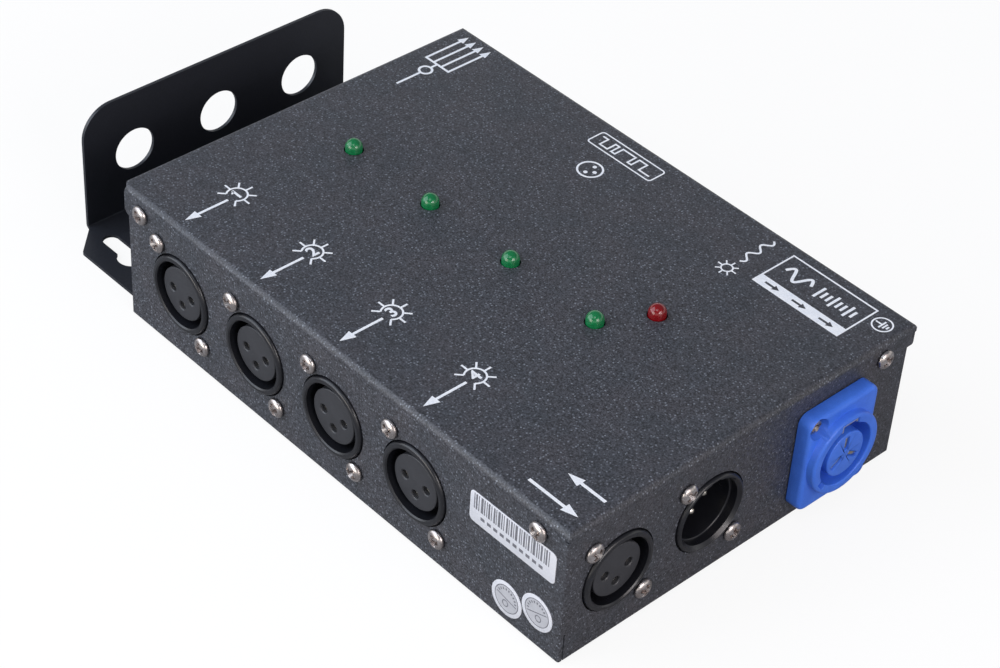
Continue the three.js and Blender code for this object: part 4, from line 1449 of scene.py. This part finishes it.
def wave(x, y, length, height, periods, width, steps=36):
    points = [(x + length * step / steps, y + height * math.sin(math.tau * periods * step / steps))
              for step in range(steps + 1)]
    return stroke(points, width)


def makeRating():
    details = ratingDetails
    (lowX, lowY), (highX, highY) = details["low"], details["high"]
    line, bandTop, bandMiddle = details["line"], lowY + details["band"], lowY + details["band"] / 2
    gaps = [inkGap(rectangle(lowX + line, bandTop, highX - line, highY - line))]
    for start in details["arrowStarts"]:
        x = lowX + start
        gaps.append(inkGap(arrow((x, bandMiddle), (x + details["arrowLength"], bandMiddle),
                                 details["arrowLine"], *details["arrowHead"])))
    plate = cut(inkShape(rectangle(lowX, lowY, highX, highY)), gaps)
    inside = bandTop + (highY - line - bandTop) / 2
    glyphs = [inkShape(wave(lowX + details["waveStart"], inside, details["waveLength"],
                            details["waveHeight"], details["wavePeriods"], details["waveLine"]))]
    half = details["tickLine"] / 2
    for index, reach in enumerate(details["tickReaches"]):
        x = lowX + details["tickStart"] + index * details["tickPitch"]
        glyphs.append(inkShape(rectangle(x - half, inside - reach, x + half, inside + reach)))
    addPrint("supply_frame", merged([plate] + glyphs))


def makeEarthSign():
    details = earthDetails
    (x, y), half, tipHalf = details["middle"], details["line"] / 2, details["stemTipLine"] / 2
    bars = []
    for index, reach in enumerate(details["barReaches"]):
        barX = x + details["barPitch"] * index
        bars.append(inkShape(rectangle(barX - half, y - reach, barX + half, y + reach)))
    tipStart, tipEnd = details["stemTip"]
    tip = inkShape(rectangle(x - tipStart, y - tipHalf, x - tipEnd, y + tipHalf))
    stem = inkShape(rectangle(x - details["stem"], y - half, x, y + half))
    earth = joined(joined(tip, [stem]), [bars[0]])
    circle = inkRing(x, y, details["ring"], details["ringLine"])
    addPrint("earth_sign", merged([earth] + bars[1:] + [circle]))


powerSignDetails = {  # a lamp, and a supply wave beside it
    "middle": (39.2, 41.4),
    "ring": 1.6,
    "ringLine": 0.45,
    "rayCount": 8,
    "rayReach": 3.2,
    "rayLine": 0.42,
    "waveStart": 46.2,
    "waveX": 39.3,
    "waveLength": 13.4,
    "waveHeight": 1.1,
    "wavePeriods": 2.5,
    "waveLine": 0.6,
}
poleSignDetails = {  # a ring with three dots, for the three contacts
    "middle": (-15, 43.3),
    "ring": 3.6,
    "line": 0.6,
    "dot": 0.62,
    "dots": ((0, -1.8), (0, 1.8), (1.8, 0)),
}
dataSignDetails = {  # a frame round a square wave
    "middle": (-13.2, 55.5),
    "size": (25, 7),
    "corner": 1.2,
    "gapSize": (24.1, 6.1),
    "gapCorner": 0.8,
    "levels": (57.2, 53.8),
    "edges": (-24, -22, -19, -17.5, -16, -11, -9.5, -6.5, -2.5),
    "line": 0.55,
}
endArrowDetails = {  # signal in and out, at the end face
    "arrows": (((66, -55.1), (83, -55.1)), ((83.4, -46.4), (70.4, -46.4))),
    "line": 0.9,
    "head": (4.6, 3),
}


def makePowerSign():
    details = powerSignDetails
    (x, y), radius, count = details["middle"], details["ring"], details["rayCount"]
    turns = [360 * index / count for index in range(count)]
    sun = joined(inkRing(x, y, radius, details["ringLine"]),
                 inkRays(x, y, turns, radius, details["rayReach"], details["rayLine"]))
    along = wave(details["waveStart"], details["waveX"], details["waveLength"], details["waveHeight"],
                 details["wavePeriods"], details["waveLine"])
    addPrint("power_sign", merged([sun, inkShape([(waveX, waveY) for waveY, waveX in along])]))


def makeSmallSigns():
    details = poleSignDetails
    x, y = details["middle"]
    dots = [rod(details["dot"], inkLow, inkHigh, 24, shifted(x + dotX, y + dotY))
            for dotX, dotY in details["dots"]]
    addPrint("three_pole_sign", merged([inkRing(x, y, details["ring"], details["line"])] + dots))

    details = dataSignDetails
    x, y = details["middle"]
    frames = [[(x + cornerX, y + cornerY) for cornerX, cornerY in roundedRectangle(*size, corner)]
              for size, corner in ((details["size"], details["corner"]),
                                   (details["gapSize"], details["gapCorner"]))]
    edges = details["edges"]
    square = [(edge, details["levels"][index % 2])
              for index in range(len(edges) - 1) for edge in edges[index:index + 2]]
    addPrint("data_sign", merged([cut(inkShape(frames[0]), [inkGap(frames[1])]),
                                  inkShape(stroke(square, details["line"]))]))

    details = endArrowDetails
    addPrint("end_arrows", merged([inkShape(arrow(start, end, details["line"], *details["head"]))
                                   for start, end in details["arrows"]]))


# Stickers on the output face, blank but for plain stripes and rings
stickerDetails = {
    "thick": 0.12,
    "edge": 0.03,
    "inkDepth": 0.02,
    "labelX": 67.8,
    "labelZ": 29,
    "labelWidth": 30.4,
    "labelHeight": 10,
    "labelCorner": 1.5,
    "labelMargin": 1.4,
    "stripeFoot": -0.5,
    "stripeMargin": 0.5,
    "stripeWidths": (0.3, 0.55, 0.3, 0.8, 0.4, 0.3, 0.6),
    "stripeGaps": (0.35, 0.4, 0.6, 0.3, 0.45),
    "dashCount": 10,
    "dashStart": -11.2,
    "dashPitch": 2.3,
    "dashLength": 1.4,
    "dashHeights": (-2.9, -1.9),
    "seals": ((67.5, 7.3, -12), (78.1, 10.9, 20)),
    "sealRadius": 5.4,
    "sealDisc": 4.1,
    "discInk": 0.01,
    "sealLine": (0.1, 0.15),
    "barMargin": 0.5,
    "barHalf": 0.15,
    "tickCount": 9,
    "tickTurn": 18,
    "tickEnds": (1.3, 0.6),
    "tickHalf": 0.22,
    "eye": (0.8, 1.1),
    "eyeY": -1.7,
}


def makeLabel():
    details = stickerDetails
    thick, width, height = details["thick"], details["labelWidth"], details["labelHeight"]
    low, high = thick - details["inkDepth"], thick + details["inkDepth"]
    place = onOutputFace(details["labelX"], details["labelZ"])
    sheet = prism(roundedRectangle(width, height, details["labelCorner"]), -slip, thick)
    addPiece("label_sheet", softened(sheet, details["edge"]), whiteVinyl, (), place)
    ink = []
    x, end, index = details["labelMargin"] - width / 2, width / 2 - details["labelMargin"], 0
    widths, gaps = details["stripeWidths"], details["stripeGaps"]
    while x + widths[index % len(widths)] <= end:
        stripe = widths[index % len(widths)]
        ink.append(prism(rectangle(x, details["stripeFoot"], x + stripe,
                                   height / 2 - details["stripeMargin"]), low, high))
        x += stripe + gaps[index % len(gaps)]
        index += 1
    foot, top = details["dashHeights"]
    for index in range(details["dashCount"]):
        x = details["dashStart"] + index * details["dashPitch"]
        ink.append(prism(rectangle(x, foot, x + details["dashLength"], top), low, high))
    addPiece("label_stripes", merged(ink), greyInk, (), place)


def makeSeals():
    details = stickerDetails
    thick, disc = details["thick"], details["sealDisc"]
    low, high = thick - details["inkDepth"], thick + details["inkDepth"]
    (inside, outside), (tickStart, tickEnd) = details["sealLine"], details["tickEnds"]
    barReach, bar, tick = disc - details["barMargin"], details["barHalf"], details["tickHalf"]
    for index, (x, z, turn) in enumerate(details["seals"]):
        name, place = f"seal_{index + 1}", onOutputFace(x, z)
        sheet = softened(rod(details["sealRadius"], -slip, thick, 72), details["edge"])
        addPiece(name, sheet, whiteVinyl, (), place)
        addPiece(name + "_disc", rod(disc, low, thick + details["discInk"], 72), paleInk,
                 (), place)
        ink = [ring(disc - inside, disc + outside, low, high),
               prism(rectangle(-barReach, -bar, barReach, bar), low, high)]
        for step in range(details["tickCount"]):
            ink.append(prism(rectangle(disc - tickStart, -tick, disc - tickEnd, tick), low, high,
                             turned(details["tickTurn"] * (step + 1))))
        ink.append(ring(*details["eye"], low, high, 32, shifted(0, details["eyeY"])))
        addPiece(name + "_rings", merged(ink), greyInk, (), place @ turned(turn))


# The pieces inside keep their CAD shapes
insideFinishes = {
    "solderMask": (solderMask, ["main_board"]),
    "unfilledNylon": (whiteNylon, [f"board_support_{index}" for index in range(1, 5)]),
    "pottedEpoxy": (pottedCase, ["transformer"]),
    "shrunkPvcSleeve": (shrunkSleeve, ["filter_capacitor"]),
    "drawnGlass": (fuseGlass, ["line_fuse"]),
    "transferMouldedEpoxy": (chipEpoxy, [f"driver_chip_{index}" for index in range(1, 5)]),
    "extrudedPvcSheath": (leadSheath, ["mains_lead"]),
}


def dressInside():
    for name, (look, nodes) in insideFinishes.items():
        material = grainedMaterial(name, look)
        for node in nodes:
            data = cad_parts[node].data
            data.materials.clear()
            data.materials.append(material)


makeCover()
makeBase()
makeBracket()
print("case and bracket made")
makeScrews()
makeFemaleSockets()
makeInput()
makeInlet()
makeLamps()
print("connectors and lamps made")
makeOutputSigns()
makeDiagram()
makeRating()
makeEarthSign()
makePowerSign()
makeSmallSigns()
makeLabel()
makeSeals()
dressInside()
print("print and stickers made")


# Camera, where the photograph's stood
cameraSettings = {
    "standsAt": (385.4, -387.6, 470.5),
    "looksAt": (-6.2, 3.9, 10.2),
    "roll": 3.99,
    "lens": 94.63,
    "sensorWidth": 36,
}


def makeCamera():
    data = bpy.data.cameras.new("studioCamera")
    data.lens = cameraSettings["lens"]
    data.sensor_width = cameraSettings["sensorWidth"]
    data.sensor_fit = "HORIZONTAL"
    data.clip_start = 0.01
    camera = bpy.data.objects.new("studioCamera", data)
    bpy.context.scene.collection.objects.link(camera)
    place = inRow(cameraSettings["standsAt"])
    aim = (inRow(cameraSettings["looksAt"]) - place).to_track_quat("-Z", "Y")
    roll = Quaternion((0, 0, 1), math.radians(cameraSettings["roll"]))
    camera.matrix_world = Matrix.Translation(place) @ (aim @ roll).to_matrix().to_4x4()
    bpy.context.scene.camera = camera


# Plain white floor; it shows white to the camera and through glass, grey in gloss, and keeps the object's
# shadow
floorDetails = {
    "reach": 3.0,
    "colour": "#A8A8A8",
    "shownShare": 0.13,
    "shownGlow": 0.88,
    "gap": 0.05,
}


def makeFloor():
    details = floorDetails
    reach = details["reach"]
    low = cadBox[0][2] - details["gap"] * mm
    bm = bmesh.new()
    corners = [bm.verts.new((x, y, low)) for x, y in rectangle(-reach, -reach, reach, reach)]
    bm.faces.new(corners)
    mesh = bpy.data.meshes.new("studioFloor")
    bm.to_mesh(mesh)
    bm.free()
    floor = bpy.data.objects.new("studioFloor", mesh)
    bpy.context.scene.collection.objects.link(floor)
    material, tree = emptyMaterial("paintedFloor")
    rays = addNode(tree, "LightPath", {})
    shown = addNode(tree, "Math", {
        0: rays.outputs["Is Camera Ray"], 1: rays.outputs["Is Transmission Ray"],
    }, operation="MAXIMUM")
    plain = addNode(tree, "BsdfDiffuse", {"Color": linearColour(details["colour"])})
    dim = [details["shownShare"]] * 3 + [1]
    keeper = addNode(tree, "BsdfDiffuse", {"Color": dim})
    glow = addNode(tree, "Emission", {"Strength": details["shownGlow"]})
    lit = addNode(tree, "AddShader", {0: keeper.outputs["BSDF"], 1: glow.outputs["Emission"]})
    mix = addNode(tree, "MixShader", {
        0: shown.outputs["Value"], 1: plain.outputs["BSDF"], 2: lit.outputs["Shader"],
    })
    addNode(tree, "OutputMaterial", {"Surface": mix.outputs["Shader"]})
    mesh.materials.append(material)


# Soft room light: white low down, where cameras look, and dim above
worldDetails = {"dim": 0.26, "tint": "#E9F0FF", "whiteBelow": 0.3, "dimAbove": 0.5}


def makeWorld():
    details = worldDetails
    world = bpy.data.worlds.new("studioRoom")
    bpy.context.scene.world = world
    world.use_nodes = True
    tree = world.node_tree
    tree.nodes.clear()
    rays = addNode(tree, "LightPath", {})
    seen = addNode(tree, "Math", {0: rays.outputs["Is Camera Ray"], 1: rays.outputs["Is Glossy Ray"]},
                   operation="MAXIMUM")
    shown = addNode(tree, "Math", {0: seen.outputs["Value"], 1: rays.outputs["Is Transmission Ray"]},
                    operation="MAXIMUM")
    height = addNode(tree, "SeparateXYZ", {"Vector": addNode(tree, "TexCoord", {}).outputs["Generated"]})
    lowDown = addNode(tree, "MapRange", {
        "Value": height.outputs["Z"], "From Min": details["whiteBelow"], "From Max": details["dimAbove"],
        "To Min": 1, "To Max": 0,
    })
    share = addNode(tree, "Math", {0: shown.outputs["Value"], 1: lowDown.outputs["Result"]},
                    operation="MULTIPLY")
    dim = addNode(tree, "Background", {"Color": linearColour(details["tint"]), "Strength": details["dim"]})
    white = addNode(tree, "Background", {"Color": (1, 1, 1, 1), "Strength": 1})
    mix = addNode(tree, "MixShader", {
        0: share.outputs["Value"], 1: dim.outputs["Background"], 2: white.outputs["Background"],
    })
    addNode(tree, "OutputWorld", {"Surface": mix.outputs["Shader"]})


# Softboxes; a level of 1 shows a white card that faces it as white
softboxes = {
    "overOutputs": {"from": (-0.54, -0.64, 0.54), "distance": 1.3, "size": 1.3, "level": 0.84,
                    "colour": "#E6F0FF"},
    "overhead": {"from": (0.26, -0.40, 0.88), "distance": 1.1, "size": 0.45, "level": 0.12,
                 "colour": "#F4F7FF"},
    "overEnd": {"from": (0.88, -0.08, 0.46), "distance": 1.3, "size": 0.7, "level": 0.4,
                "colour": "#FFF4F4"},
    "nearCamera": {"from": (0.84, -0.32, 0.44), "distance": 1.3, "size": 0.16, "level": 0.1,
                   "colour": "#FFFFFF"},
    "frontLow": {"from": (-0.10, -0.98, 0.16), "distance": 1.4, "size": 0.8, "level": 0.4,
                 "colour": "#FFF6EC"},
}


def makeSoftboxes():
    for name, box in softboxes.items():
        data = bpy.data.lights.new(name, "AREA")
        data.shape = "SQUARE"
        data.size = box["size"]
        data.color = linearColour(box["colour"])[:3]
        data.energy = box["level"] * (math.pi * box["distance"]) ** 2
        light = bpy.data.objects.new(name, data)
        bpy.context.scene.collection.objects.link(light)
        direction = Vector(box["from"]).normalized()
        place = inRow((0, 0, caseTop / 2)) + direction * box["distance"]
        light.matrix_world = (Matrix.Translation(place)
                              @ direction.to_track_quat("Z", "Y").to_matrix().to_4x4())


makeCamera()
makeFloor()
makeWorld()
makeSoftboxes()
bpy.context.scene.view_settings.view_transform = "Standard"
print("studio made")
